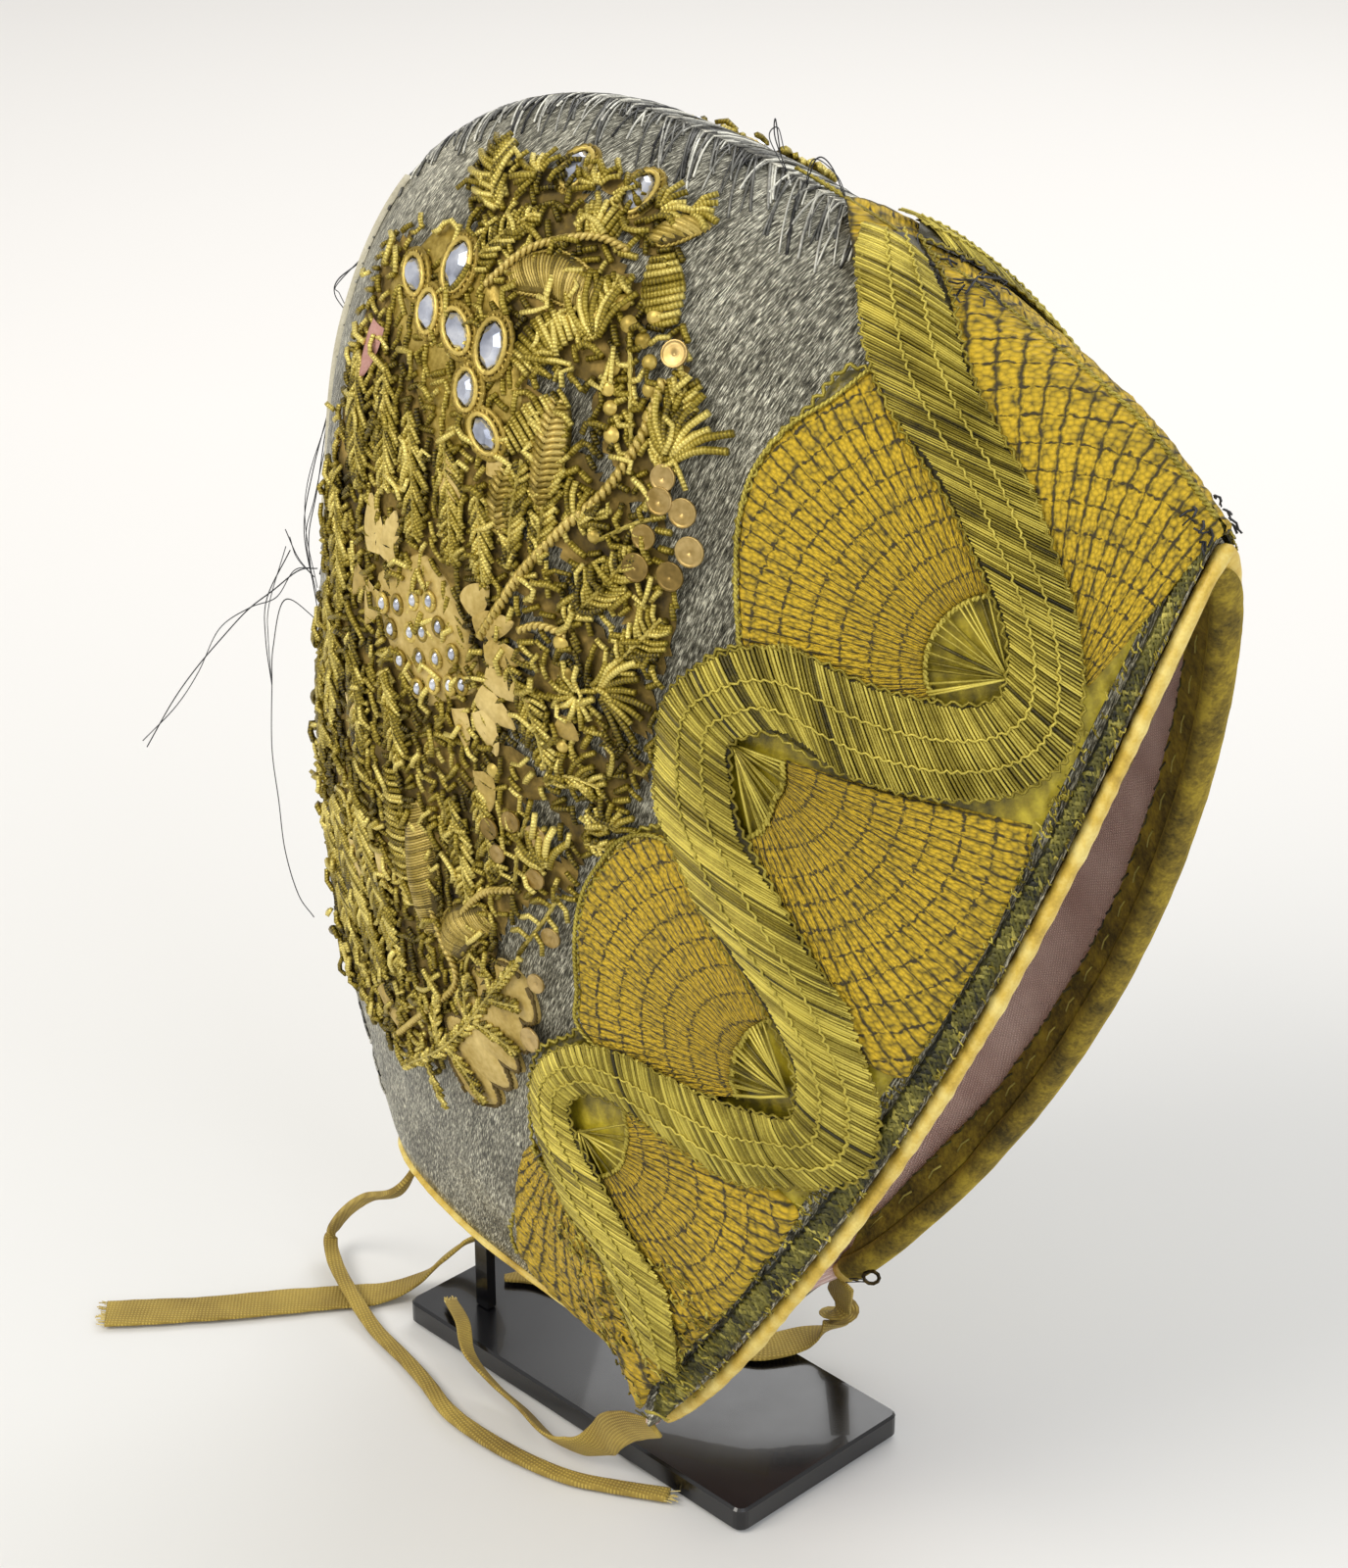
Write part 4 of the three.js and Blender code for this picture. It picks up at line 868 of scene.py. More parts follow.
# Edge braid: a dark flat plait with crossing strands and short pale tufts
edgeBraid = {"inner": 0.5, "width": 2.3, "foot": 0.85, "pitch": 3.4, "strand": 0.36}
plait = newBatch()
line = np.linspace(-frontLength * 0.97, frontLength * 0.97, 500)
offsets = np.array([1.0, 0.8, 0.4, 0, -0.4, -0.8, -1.0])
rows = np.zeros((len(line), len(offsets), 3))
rows[..., 0] = line[:, None]
rows[..., 1] = edgeBraid["inner"] + edgeBraid["width"] / 2 * (
    1 - offsets[None, :] * (1 + 0.06 * wave(line, 4, 9)[:, None]))
rows[..., 2] = edgeBraid["foot"] + 0.45 * (1 - offsets[None, :] ** 4)
addPiece(plait, rows.reshape(-1, 3), gridQuads(len(line) - 1, len(offsets) - 1), None, None, 0.05)
for strand, (start, wide) in enumerate([(0, 1), (math.pi, 1), (math.pi / 2, 0.7), (-math.pi / 2, 0.7)]):
    phase = line * 2 * math.pi / edgeBraid["pitch"] + start
    path = np.stack([line, edgeBraid["inner"] + edgeBraid["width"] / 2 + 0.95 * wide * np.sin(phase)], -1)
    addTube(plait, path, edgeBraid["strand"] * (1 + 0.2 * wave(line, strand, 5)),
            edgeBraid["foot"] + 0.5 + 0.25 * np.cos(2 * phase + strand), sides=5,
            tint=np.repeat(np.clip(0.35 + 0.45 * wave(line, 20 + strand, 11), 0, 1), 5))
layOnce(plait, "edge_plait", darkBraid, ["edge_braid"], layEdge)
tufts = newBatch()
for k in range(900):
    s = dice.uniform(-frontLength * 0.96, frontLength * 0.96)
    w = dice.choice([0.5, 3.9], p=[0.3, 0.7]) + dice.normal(0, 0.25)
    a, size = dice.uniform(0, 2 * math.pi), dice.uniform(0.6, 1.3)
    places = np.array([(s, w), (s + math.cos(a) * size * 0.5, w + math.sin(a) * size * 0.6),
                       (s + math.cos(a + 0.8) * size, w + math.sin(a + 0.8) * size)])
    addTube(tufts, places, 0.16, 1.55 + dice.uniform(-0.1, 0.35), sides=4, tint=dice.uniform(0.2, 1))
layOnce(tufts, "edge_tufts", braidThread, [], layEdge)
print("ground, lining, facing and bindings ready")

# Silk panel under the lace
border = [(24, 228), (26, 221), (30, 213), (33, 207), (29, 206), (25, 199), (21, 193), (19, 187),
          (18, 180), (19, 169),
          (20, 163), (16, 160), (13, 156), (9, 149), (9, 143), (9, 135), (10, 131), (6, 128), (2, 125),
          (-3, 117),
          (-7, 109), (-8, 98), (-8, 87), (-9, 83), (-15, 78), (-18, 72), (-19, 65), (-19, 57), (-16, 49),
          (-24, 40),
          (-31, 32), (-34, 20)]
eyes = {  # the open centre of each fan, where its gilt threads start, and its rim
    "upper": {"pivot": (58, 166), "rim": [(53, 177), (47, 171), (47, 162), (58, 164), (58, 166), (59, 174)]},
    "middle": {"pivot": (20, 147), "rim": [(20, 147), (26, 149), (26, 141), (23, 133), (20, 138)]},
    "lower": {"pivot": (28, 92), "rim": [(28, 92), (19, 87), (20, 96), (25, 104), (28, 102)]},
    "ear": {"pivot": (-7, 65), "rim": [(-7, 65), (-7, 70), (0, 74), (1, 64), (-4, 57), (-7, 62)]},
}
panel = {"rows": 150, "columns": 44, "front": 4.3, "height": 1.15}
borderLine, _ = smoothPath(border, 0.5)
borderPlaces = borderLine[np.linspace(0, len(borderLine) - 1, panel["rows"]).astype(int)]
turn = math.radians(ribAngles[0])
r = np.linspace(205, 14, panel["rows"])
frontPlaces = np.stack([r * math.cos(turn) - panel["front"] * math.sin(turn),
                        r * math.sin(turn) + panel["front"] * math.cos(turn)], -1)
share = np.linspace(0, 1, panel["columns"])[None, :, None]
places = frontPlaces[:, None, :] * (1 - share) + borderPlaces[:, None, :] * share
flatPoints = places.reshape(-1, 2)
# painted shade: the silk is kept dark under the lace, where the lace shades it, and bright in the open eyes
# and along the front strip
nearest = np.min([np.hypot(*(flatPoints - np.mean(e["rim"], axis=0)).T) for e in eyes.values()], axis=0)
fromFront = np.abs(-flatPoints[:, 0] * math.sin(turn) + flatPoints[:, 1] * math.cos(turn))
paintedLightUnderLace = np.clip(np.maximum(0.85 - nearest / 14, 1.1 - fromFront / 14), 0.05, 1)
gathers = 0.18 * np.sin(flatPoints[:, 0] * 2.1 + flatPoints[:, 1] * 0.7)
gathers = gathers + 0.12 * wave(flatPoints[:, 1] * 3, 31, 14)
height = panel["height"] + 0.12 * gathers
height = height.reshape(panel["rows"], panel["columns"])
height[[0, -1]], height[:, [0, -1]] = 0.3, 0.3
# painted light: the tint is also lighter on the crests of the gathers
silk = newBatch()
addPiece(silk, np.column_stack([flatPoints, height.ravel()]),
         gridQuads(panel["rows"] - 1, panel["columns"] - 1), tint=paintedLightUnderLace + gathers)
for piece in layBatch(silk, "silk_under_lace", silkUnder, ["silk_panel"]):
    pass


def inFront(place):
    # whether a place on the flat pattern lies under the lace rather than on the silver
    across = np.interp(place[1], borderLine[::-1, 1], borderLine[::-1, 0])
    return place[0] > across


# Lace: fans of chain stitched bars round the eyes. Each row is an angle and the inner and outer radius there.
fans = {
    "upper": {"pivot": (58, 166), "bars": 34, "rows": [
        (105, 12, 25), (112, 12, 36), (118, 12, 47), (121, 12, 48), (130, 12, 46), (140, 12, 46),
        (150, 12, 45),
        (160, 12, 42.5), (170, 12, 40), (180, 12, 38.5), (185, 12, 38), (190, 12, 36), (198, 11.7, 26),
        (205, 11.5, 18)]},
    "middle": {"pivot": (20, 147), "bars": 26, "rows": [
        (-82, 14.5, 18), (-75, 13.5, 31), (-70, 12.5, 47), (-65, 11.5, 52), (-60, 10.5, 49), (-50, 9, 44.5),
        (-40, 8.5, 41.7), (-30, 8, 40.5), (-20, 7.5, 40), (-10, 7, 41), (-3, 7, 41)]},
    "lower": {"pivot": (28, 92), "bars": 34, "rows": [
        (105, 12, 24), (115, 11, 34), (120, 10.5, 40), (130, 10, 42), (140, 9.5, 41), (150, 9, 40),
        (160, 9, 38.5),
        (170, 9, 37), (180, 9.2, 36), (190, 9.5, 36.5), (198, 10, 32), (206, 10, 22), (212, 10, 14)]},
    "ear": {"pivot": (-7, 65), "bars": 40, "rows": [
        (-142, 15, 18), (-133, 15, 27), (-126, 15, 38), (-120, 15, 50), (-115, 15, 58), (-105, 14, 60),
        (-95, 14, 62), (-85, 9.5, 63), (-80, 9, 53), (-70, 8.5, 42.5), (-60, 8.3, 36.8), (-45, 8, 32.3),
        (-30, 8, 30.5),
        (-15, 8, 30.6), (0, 8, 33), (10, 8.5, 35), (20, 9, 29), (35, 10, 20), (50, 11.4, 15)]},
    "crown": {"pivot": (64, 160), "bars": 17, "rows": [
        (52, 8, 34), (65, 9, 36), (80, 14, 47), (95, 22, 56), (105, 30, 62), (115, 41, 71), (123, 52, 78)]},
}
laceSize = {"foot": 1.7, "top": 2.3, "step": 1.1, "knot": 0.9}
laceBatch = newBatch()
rims = newBatch()


def toRidge(pivot, angle, share=0.9985):
    radius = np.arange(10, 90, 0.25)
    x = pivot[0] + radius * math.cos(math.radians(angle))
    z = pivot[1] + radius * math.sin(math.radians(angle))
    around = np.interp(np.degrees(np.arctan2(z, x)), ribAngles, aroundLine)
    over = np.hypot(x, z) > share * np.interp(around, aroundLine, ribLengths)
    return radius[np.argmax(over)]


for fanName, fan in fans.items():
    rows = smoothRows(fan["rows"], np.linspace(0, 1, 60))
    spread = math.radians(abs(rows[-1, 0] - rows[0, 0]))
    angleCount = int(spread * np.mean(rows[:, 2]) / laceSize["step"])
    radiusCount = int(np.max(rows[:, 2] - rows[:, 1]) / laceSize["step"])
    rows = smoothRows(fan["rows"], np.linspace(0, 1, angleCount + 1))
    if fanName == "crown":  # this panel runs up to the ridge
        rows[:, 2] = [toRidge(fan["pivot"], angle) for angle in rows[:, 0]]
    t = np.linspace(0, 1, radiusCount + 1)[None, :]
    radius = rows[:, 1:2] * (1 - t) + rows[:, 2:3] * t
    angle = np.radians(rows[:, 0:1]) + 0 * t
    bar = (angle - angle[0, 0]) / spread * fan["bars"]
    raised = 0.5 * (1 - np.abs(2 * (bar % 1) - 1) ** 4) * (0.75 + 0.25 * np.cos(radius * 2 * math.pi / 4.14))
    lift = laceSize["foot"] + 0.2 + raised + 0.15 * wave(radius + bar * 3, 17, 11)
    lift[[0, -1]], lift[:, [0, -1]] = 1.2, 1.2
    if fanName == "crown":
        lift[1:-1, -1] = 2.0
    x, z = fan["pivot"][0] + radius * np.cos(angle), fan["pivot"][1] + radius * np.sin(angle)
    level = 0.92 + 0.14 * wave(radius * 2 + bar, 41, 23) - 0.1 * (t > 0.85)
    uv = np.stack([radius / laceSize["knot"] + 0 * bar, bar * 3], -1).reshape(-1, 2)
    quads = gridQuads(angleCount, radiusCount)[:, ::-1]
    addPiece(laceBatch, np.stack([x, z, lift], -1).reshape(-1, 3), quads[:, ::-1], None, uv, level.ravel())
    for column, size in ((0, 0.5), (-1, 0.4)):
        path, _ = smoothPath(np.stack([x[:, column], z[:, column]], -1), 0.5)
        if fanName in ("upper", "lower") or (column == 0 and fanName != "crown"):
            addTwine(rims, path, size, 2.15, 1.7, tint=0.6, sides=5)
for piece in layBatch(laceBatch, "lace_fans", lace, ["lace"]):
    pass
seam = newBatch()
places = np.linspace(0.012, 0.3, 120)
ridgeLine = flatAt(places, np.interp(places, aroundLine, ribLengths) - 0.1)
addTwine(seam, ridgeLine, 0.5, 2.0, 2.0, tint=0.45)
layBatch(seam, "ridge_seam", braidThread, sides=(-1,))

# Gilt threads that cross each eye from one point
for eyeName, eye in eyes.items():
    rows = smoothRows(fans[eyeName]["rows"], np.linspace(0.05, 0.95, 17))
    for angle, inner, _ in rows:
        end = turned(*eye["pivot"], angle + dice.normal(0, 2), inner + 0.4)
        path = np.array([eye["pivot"], ((eye["pivot"][0] + end[0]) / 2, (eye["pivot"][1] + end[1]) / 2), end])
        addTube(rims, path, dice.uniform(0.14, 0.3), np.array([2.4, 2.5, 2.3]) + dice.uniform(-0.3, 0.5),
                sides=5, tint=dice.uniform(0.1, 1.3))
layBatch(rims, "lace_rims", braidThread)
print("lace ready")


# Half-round threads laid side by side, as in flat braid and satin stitch
def addStrip(batch, centre, direction, half, width, rise, crown=0.32, segments=8, tint=0.5):
    # rise gives the underside's height for shares -1 to 1 along the strip
    t = np.linspace(-1, 1, segments + 1)
    d = np.asarray(direction, float)
    d = d / (np.hypot(*d) + 1e-9)
    path = np.asarray(centre, float) + d * half * t[:, None]
    right = np.tile([d[1], -d[0]], (segments + 1, 1))
    edge = np.tile(np.array([1, 0.5, -0.5, -1]) * width / 2, (segments + 1, 1))
    addRibbon(batch, path, right, edge, rise(t)[:, None] + np.array([0, crown, crown, 0]), tint)


serpentine = {"width": 14.0, "pitch": 0.52, "foot": 2.95, "crown": 1.0, "lean": 1.5, "slant": (0.66, -0.75),
              "couching": (-0.28, 0.38)}
serpentineRows = [
    (27, 229, 0.5), (34, 218, 0.85), (39, 209, 0.9), (45, 201, 0.83), (52, 193, 0.8), (57, 185, 0.78),
    (61, 177, 0.74),
    (63, 169, 0.72), (62, 161, 0.8), (57, 156, 0.9), (50, 154, 1), (42, 154, 1), (35, 155, 1),
    (28, 157, 0.95),
    (22, 156, 0.85), (15, 150, 0.8), (14, 142, 0.86), (15, 133, 0.93), (19, 125, 0.95), (23, 118, 0.95),
    (28, 111, 0.88), (32, 103, 0.76), (34, 95, 0.7), (32, 85, 0.7), (25, 81, 0.85), (17, 78, 0.95),
    (10, 78, 0.85),
    (2, 79, 0.75), (-6, 78, 0.62), (-12, 72, 0.56), (-12, 64, 0.62), (-8, 56, 0.72), (-4, 49, 0.76),
    (1, 41, 0.74),
    (3, 32, 0.62), (4, 22, 0.4)]
path, travel = smoothPath(serpentineRows, serpentine["pitch"])
along, right = sideways(path)
toRight = -right
halfWide = path[:, 2] * serpentine["width"] / 2


def bandRise(t):
    return serpentine["crown"] * (1 - t * t)


braidBatch = newBatch()
offsets = np.array([-1, -0.75, -0.4, 0, 0.4, 0.75, 1.0])
# painted shade: a dark ribbon under the threads, seen in the gaps between them
addRibbon(braidBatch, path, toRight, halfWide[:, None] * offsets,
          serpentine["foot"] - 0.3 + bandRise(offsets), 0.0)
clump = wave(travel, 51, 3.5)
for k in range(2, len(path) - 2):
    slant = toRight[k] + serpentine["lean"] * np.array(serpentine["slant"])
    slant /= np.hypot(*slant)
    half = halfWide[k] / max(0.5, float(slant @ toRight[k]))
    shift = along[k] * 0.18 * clump[k]
    sag = dice.normal(0, 0.06)
    addStrip(braidBatch, path[k, :2] + shift, slant, half * (1 + 0.02 * dice.normal()),
             serpentine["pitch"] * 0.9 * max(0.5, float(slant @ toRight[k])),
             lambda t: serpentine["foot"] + bandRise(t) + sag, crown=0.34, segments=7,
             tint=float(np.clip(0.66 + 0.24 * dice.normal() + 0.14 * clump[k], 0, 1)))
layBatch(braidBatch, "serpentine_threads", braidThread, ["serpentine_braid"])


def frill(batch, line, height, waveLength=2.0, swing=0.34, radius=0.24, tint=0.5):
    fine, places = smoothPath(line, 0.5)
    _, side = sideways(fine)
    bob = swing * np.sin(places * 2 * math.pi / waveLength + 1.2 * wave(places, 91, 13))
    bob = bob * (1 + 0.5 * wave(places, 92, 5))
    moved = np.column_stack([fine[:, 0] + side[:, 0] * bob, fine[:, 1] + side[:, 1] * bob])
    lift = height + 0.15 * np.cos(places * 2 * math.pi / waveLength)
    addTube(batch, moved, radius, lift, sides=4, tint=tint)


frills = newBatch()
for w in (-1.03, 1.03):
    frill(frills, path[::3, :2] + toRight[::3] * (w * halfWide[::3])[:, None], serpentine["foot"] + 0.25)
for w in serpentine["couching"]:
    frill(frills, path[::3, :2] + toRight[::3] * (w * halfWide[::3])[:, None],
          serpentine["foot"] + bandRise(w) + 0.5, waveLength=1.6, swing=0.24, radius=0.2, tint=0.85)
frill(frills, border, 1.9, waveLength=2.2, swing=0.4, radius=0.32, tint=0.6)
layBatch(frills, "picot_cords", braidThread)
earFrays = newBatch()
for k in range(240):
    r = 46 * math.sqrt(dice.uniform(0, 1)) + 1.5
    angle = dice.uniform(69, 140 if r < 30 else 110)
    x, z = turned(0, 0, angle, r)
    a, size = dice.uniform(0, 2 * math.pi), dice.uniform(0.8, 2.2)
    bend = dice.uniform(-1.5, 1.5)
    places = np.array([(x, z), turned(x, z, math.degrees(a), size * 0.5),
                       turned(x, z, math.degrees(a + bend), size)])
    addTube(earFrays, places, dice.uniform(0.14, 0.24), 2.5 + dice.uniform(-0.2, 0.5), sides=4,
            tint=dice.uniform(0.1, 1))
layBatch(earFrays, "ear_frays", braidThread)

# Dark tangled threads by the ridge, beside the braid's end and on the front corner
tangle = newBatch()
for start, end, count in ((78.5, 82.5, 44), (65.6, 67, 16)):
    for k in range(count):
        angle = dice.uniform(start, end)
        reach = float(np.interp(angle, ribAngles, ribLengths)) - dice.uniform(0.4, 5)
        x, z = turned(0, 0, angle, reach)
        heading, size = dice.uniform(0, 360), dice.uniform(1.5, 3.2)
        places = [(x, z), turned(x, z, heading, size / 2), turned(x, z, heading + dice.normal(0, 50), size)]
        if np.hypot(*places[-1]) < reach + 0.3:
            addTube(tangle, np.array(places), dice.uniform(0.13, 0.22),
                    2.6 + np.array([0, dice.uniform(0, 0.6), dice.uniform(-0.4, 0.7)]), sides=4,
                    tint=dice.uniform(0, 0.5))
layBatch(tangle, "ridge_tangles", darkStrand)
print("serpentine ready")


def stations(travel, first, spare, pitch):
    # even places along a path, each as its share of the length and its row in the path
    for place in np.arange(first, travel[-1] - spare, pitch):
        share = place / travel[-1]
        yield share, int(share * (len(travel) - 1))


# Raised embroidery. Each leaf has a padded body, and threads or coils laid over it.
# from, mid and to are shares round the coif and down it; wide and rise are shares of the leaf's length.
padGap, padThick = 0.4, 0.9
pads = {
    "satin_leaf_upper": {"rows": [(0.4, 0.1), (0.375, 0.09), (0.348, 0.095)], "wide": 0.42, "rise": 0.08,
                         "plump": 0.08, "style": "satin"},
    "satin_leaf_lower": {"rows": [(0.62, 0.53), (0.56, 0.543), (0.495, 0.556)], "wide": 0.42, "rise": 0.1,
                         "plump": 0.08, "style": "satin"},
    "ribbed_leaf_short": {"rows": [(0.397, 0.27), (0.395, 0.244), (0.39, 0.218)], "wide": 0.42, "rise": 0.1,
                          "plump": 0.1, "style": "ribbed"},
    "ribbed_leaf_long": {"rows": [(0.37, 0.243), (0.364, 0.203), (0.36, 0.16)], "wide": 0.3, "rise": 0.09,
                         "plump": 0.1, "style": "ribbed"},
    "striped_bud": {"rows": [(0.331, 0.05), (0.322, 0.037), (0.313, 0.027)], "wide": 0.5, "rise": 0.12,
                    "plump": 0.1, "style": "striped"},
    "long_satin_leaf": {"rows": [(0.575, 0.425), (0.6, 0.465), (0.632, 0.497)], "wide": 0.3, "rise": 0.1,
                        "plump": 0.12, "style": "satin"},
    "flower_boss": {"rows": [(0.501, 0.278), (0.487, 0.334), (0.472, 0.392)], "wide": 0.85, "rise": 0.05,
                    "plump": 0.45, "style": "vellum"},
    "stone_rosette": {"rows": [(0.47, 0.078), (0.435, 0.135), (0.41, 0.204)], "wide": 0.66, "rise": 0,
                      "plump": 0.6, "style": "gilt"},
    "oak_leaf": {"rows": [(0.455, 0.612), (0.585, 0.622), (0.7, 0.6)], "wide": 0.55, "rise": 0.03,
                 "plump": 0.15, "style": "vellum", "lobes": 5},
}


def padShape(pad):
    places = np.array([toFlat(*row) for row in pad["rows"]])
    path, travel = smoothPath(places, 0.5)
    length = float(np.hypot(*(places[-1] - places[0])))
    share = travel / travel[-1]
    swell = np.sqrt(np.maximum(0, 1 - (2 * share - 1) ** 2))
    half = pad["wide"] * length / 2 * (pad["plump"] + (1 - pad["plump"]) * swell)
    if pad.get("lobes"):
        half = half * (0.5 + 0.5 * np.abs(np.sin(math.pi * pad["lobes"] * share + 0.4)) ** 0.7)
    rise = pad["rise"] * length * np.sin(math.pi * share)
    return path, travel, half, rise


def padBody(batch, path, half, rise, tint):
    _, right = sideways(path)
    offsets = np.array([1.02, 0.97, 0.8, 0.4, 0, -0.4, -0.8, -0.97, -1.02])
    top = padGap + padThick + rise[:, None] * (1 - offsets[None, :] ** 2) - 0.25
    top[:, [0, -1]] = top[[0, -1]] = 0.05
    addRibbon(batch, path, right, half[:, None] * offsets, top, tint)


works = []
for name, pad in pads.items():
    path, travel, half, rise = padShape(pad)
    along, right = sideways(path)
    batch = newBatch()
    padBody(batch, path, half, rise, 0.1 if pad["style"] in ("satin", "ribbed", "striped") else 0.6)
    middle = padGap + padThick
    if pad["style"] in ("satin", "striped"):
        coarse = 0.42 if pad["style"] == "satin" else 0.9
        for _, k in stations(travel, 0.6, 0.4, coarse):
            lean = right[k] + along[k] * (0.35 if pad["style"] == "satin" else 0.9)
            addStrip(batch, path[k], lean, half[k] * 1.02 * np.hypot(*lean), coarse * 1.02,
                     lambda t: middle - 0.28 + rise[k] * (1 - t * t) - 0.35 * np.abs(t) ** 4,
                     crown=0.18 if pad["style"] == "satin" else 0.36, segments=6,
                     tint=dice.uniform(0.45, 0.75))
        for way in (-1, 1):
            addTwine(batch, path + right * (half * 1.04 * way)[:, None], 0.42, middle - 0.45, 1.5, tint=0.5)
    if pad["style"] == "ribbed":
        for _, k in stations(travel, 0.4, 0.3, 1.0):
            for way in (-1, 1):
                tip = path[k] + right[k] * half[k] * way + along[k] * half[k] * 0.35
                mid = (path[k] + tip) / 2 + along[k] * 0.2
                addCoil(batch, [(*path[k], rise[k]), (*mid, rise[k] * 0.75), (*tip, 0)], 0.5, middle - 0.5,
                        tint=dice.uniform(0.3, 0.8))
    if name == "oak_leaf":
        for way in (-1, 1):
            addTwine(batch, path + right * (half * 0.96 * way)[:, None], 0.5, middle - 0.25, 1.6, tint=-0.35)
    look = {"vellum": vellum, "gilt": giltRim}.get(pad["style"], satinThread)
    works += layBatch(batch, f"{name}_work", look, [name])

# Twisted stem through the embroidery
stemRows = [toFlat(*row) for row in [(0.308, 0.12), (0.313, 0.16), (0.328, 0.205), (0.352, 0.243),
                                     (0.38, 0.285),
                                     (0.4, 0.315), (0.425, 0.345)]]
stem = newBatch()
path, _ = smoothPath(stemRows, 0.3)
addTwine(stem, path, 0.92, 1.45, 2.8, tint=0.6)
layBatch(stem, "twisted_stem_cord", satinThread, ["twisted_stem"])


# Embroidery motifs, drawn on the flat pattern
def feather(batch, spine, width, pitch=1.25, lean=52, radius=0.5, height=0.8, curl=0.25):
    path, travel = smoothPath(spine, 0.4)
    along, right = sideways(path)
    for share, k in stations(travel, 0.3, 0.2, pitch):
        for way in (-1, 1):
            reach = width / 2 * math.sin(math.pi * (0.16 + 0.78 * share)) ** 0.7 * dice.uniform(0.8, 1.15)
            slope = math.radians(lean + dice.normal(0, 7))
            out = along[k] * math.cos(slope) + right[k] * way * math.sin(slope)
            tip = path[k] + out * reach + along[k] * curl * reach
            addCoil(batch, [path[k], path[k] + out * reach * 0.55, tip], radius,
                    height + dice.uniform(0, 0.2), arch=0.3, tint=dice.uniform(0.15, 0.9))
    addTube(batch, path, 0.32, height + 0.75, sides=5, twist=(2, 1.6), tint=0.8)


def ladder(batch, spine, width, pitch=1.15, radius=0.5, height=0.8, lean=0.0):
    path, travel = smoothPath(spine, 0.4)
    along, right = sideways(path)
    for share, k in stations(travel, 0.2, 0.0, pitch):
        reach = width / 2 * (0.55 + 0.45 * math.sin(math.pi * share))
        start, end = path[k] - right[k] * reach, path[k] + right[k] * reach + along[k] * lean * reach
        addCoil(batch, [start, (start + end) / 2 + along[k] * 0.3, end], radius, height, arch=0.45,
                tint=dice.uniform(0.2, 0.9))


def fan(batch, root, first, last, length, count, radius=0.55, height=0.8):
    # coils spread out from a root, from the first direction to the last in degrees
    for k in range(count):
        reach = length * (0.85 + 0.15 * math.sin(k * 2.1))
        tip = np.array(turned(*root, first + (last - first) * k / max(1, count - 1), reach))
        out = tip - np.array(root, float)
        start = tip - out * 0.88
        bend = (start + tip) / 2 + np.array([-out[1], out[0]]) * 0.08
        addCoil(batch, [start, bend, tip], radius, height + dice.uniform(0, 0.25), arch=0.45,
                tint=dice.uniform(0.25, 0.95))


def sprig(batch, spine, reach, pitch=2.3, radius=0.55, height=0.8):
    path, travel = smoothPath(spine, 0.4)
    along, right = sideways(path)
    for n, (_, k) in enumerate(stations(travel, 0.8, 0.0, pitch)):
        way = 1 if n % 2 else -1
        tip = path[k] + (right[k] * way * 0.85 + along[k] * 0.55) * reach
        bend = path[k] + right[k] * way * reach * 0.55
        addCoil(batch, [path[k], bend, tip], radius, height, arch=0.4, tint=dice.uniform(0.3, 1))
    addCoil(batch, [path[-2], path[-1], path[-1] + along[-1] * reach * 0.7], radius, height)
    addTube(batch, path, 0.38, height + 0.4, sides=6, twist=(2, 1.7), tint=0.7)


motifs = newBatch()
feather(motifs, [(-36, 219), (-40, 224), (-43, 231)], 9, radius=0.6)
feather(motifs, [(-39, 207), (-34, 214), (-28, 220)], 7)
ladder(motifs, [(-20, 220), (-17, 221), (-13, 220)], 6, radius=0.6)
fan(motifs, (-8, 224), -10, 100, 6, 6, radius=0.65)
fan(motifs, (-3, 225), -30, 60, 5, 5, radius=0.65)
fan(motifs, (-31, 226), 60, 240, 5, 8)
fan(motifs, (-20, 226), 40, 200, 4.5, 7)
ladder(motifs, [(-4, 217), (-2, 212), (0, 207)], 7, radius=0.6)
fan(motifs, (-11, 202), 60, 135, 12, 7)
feather(motifs, [(-13, 201), (-11, 207), (-10, 213)], 6)
sprig(motifs, [(-1, 186), (-3, 195), (-5, 203)], 3)
fan(motifs, (5, 187), 20, 120, 12, 9, radius=0.65)
feather(motifs, [(4, 186), (5, 193), (6, 199)], 9, radius=0.55)
feather(motifs, [(-21, 164), (-21, 173), (-20, 182)], 6, pitch=1.1)
feather(motifs, [(-16, 167), (-15, 179), (-14, 190)], 6.5, pitch=1.1)
feather(motifs, [(-10, 158), (-4, 165), (1, 172)], 8, pitch=1.15)
ladder(motifs, [(-24, 183), (-19, 188), (-14, 193)], 6)
ladder(motifs, [(-23, 196), (-20, 201), (-15, 205)], 7, radius=0.6)
fan(motifs, (-9, 174), 10, 120, 7, 6)
sprig(motifs, [(-6, 172), (0, 176), (4, 178)], 3)
feather(motifs, [(-2, 152), (3, 158), (7, 163)], 9)
fan(motifs, (-4, 148), -60, 60, 10, 9, radius=0.6)
fan(motifs, (-8, 146), 90, 330, 6, 10)
feather(motifs, [(-14, 128), (-10, 131), (-4, 131)], 8)
feather(motifs, [(-21, 147), (-17, 140), (-14, 131)], 7)
sprig(motifs, [(-21, 107), (-20, 114), (-18, 121)], 4.5)
fan(motifs, (-14, 112), 60, 160, 9, 6, radius=0.65)
fan(motifs, (-2, 124), 20, 200, 6, 9)
feather(motifs, [(-7, 120), (0, 121), (6, 126)], 5)
sprig(motifs, [(-12, 108), (-15, 102), (-19, 96)], 4)
feather(motifs, [(-78, 101), (-72, 86), (-63, 70)], 11, radius=0.6)
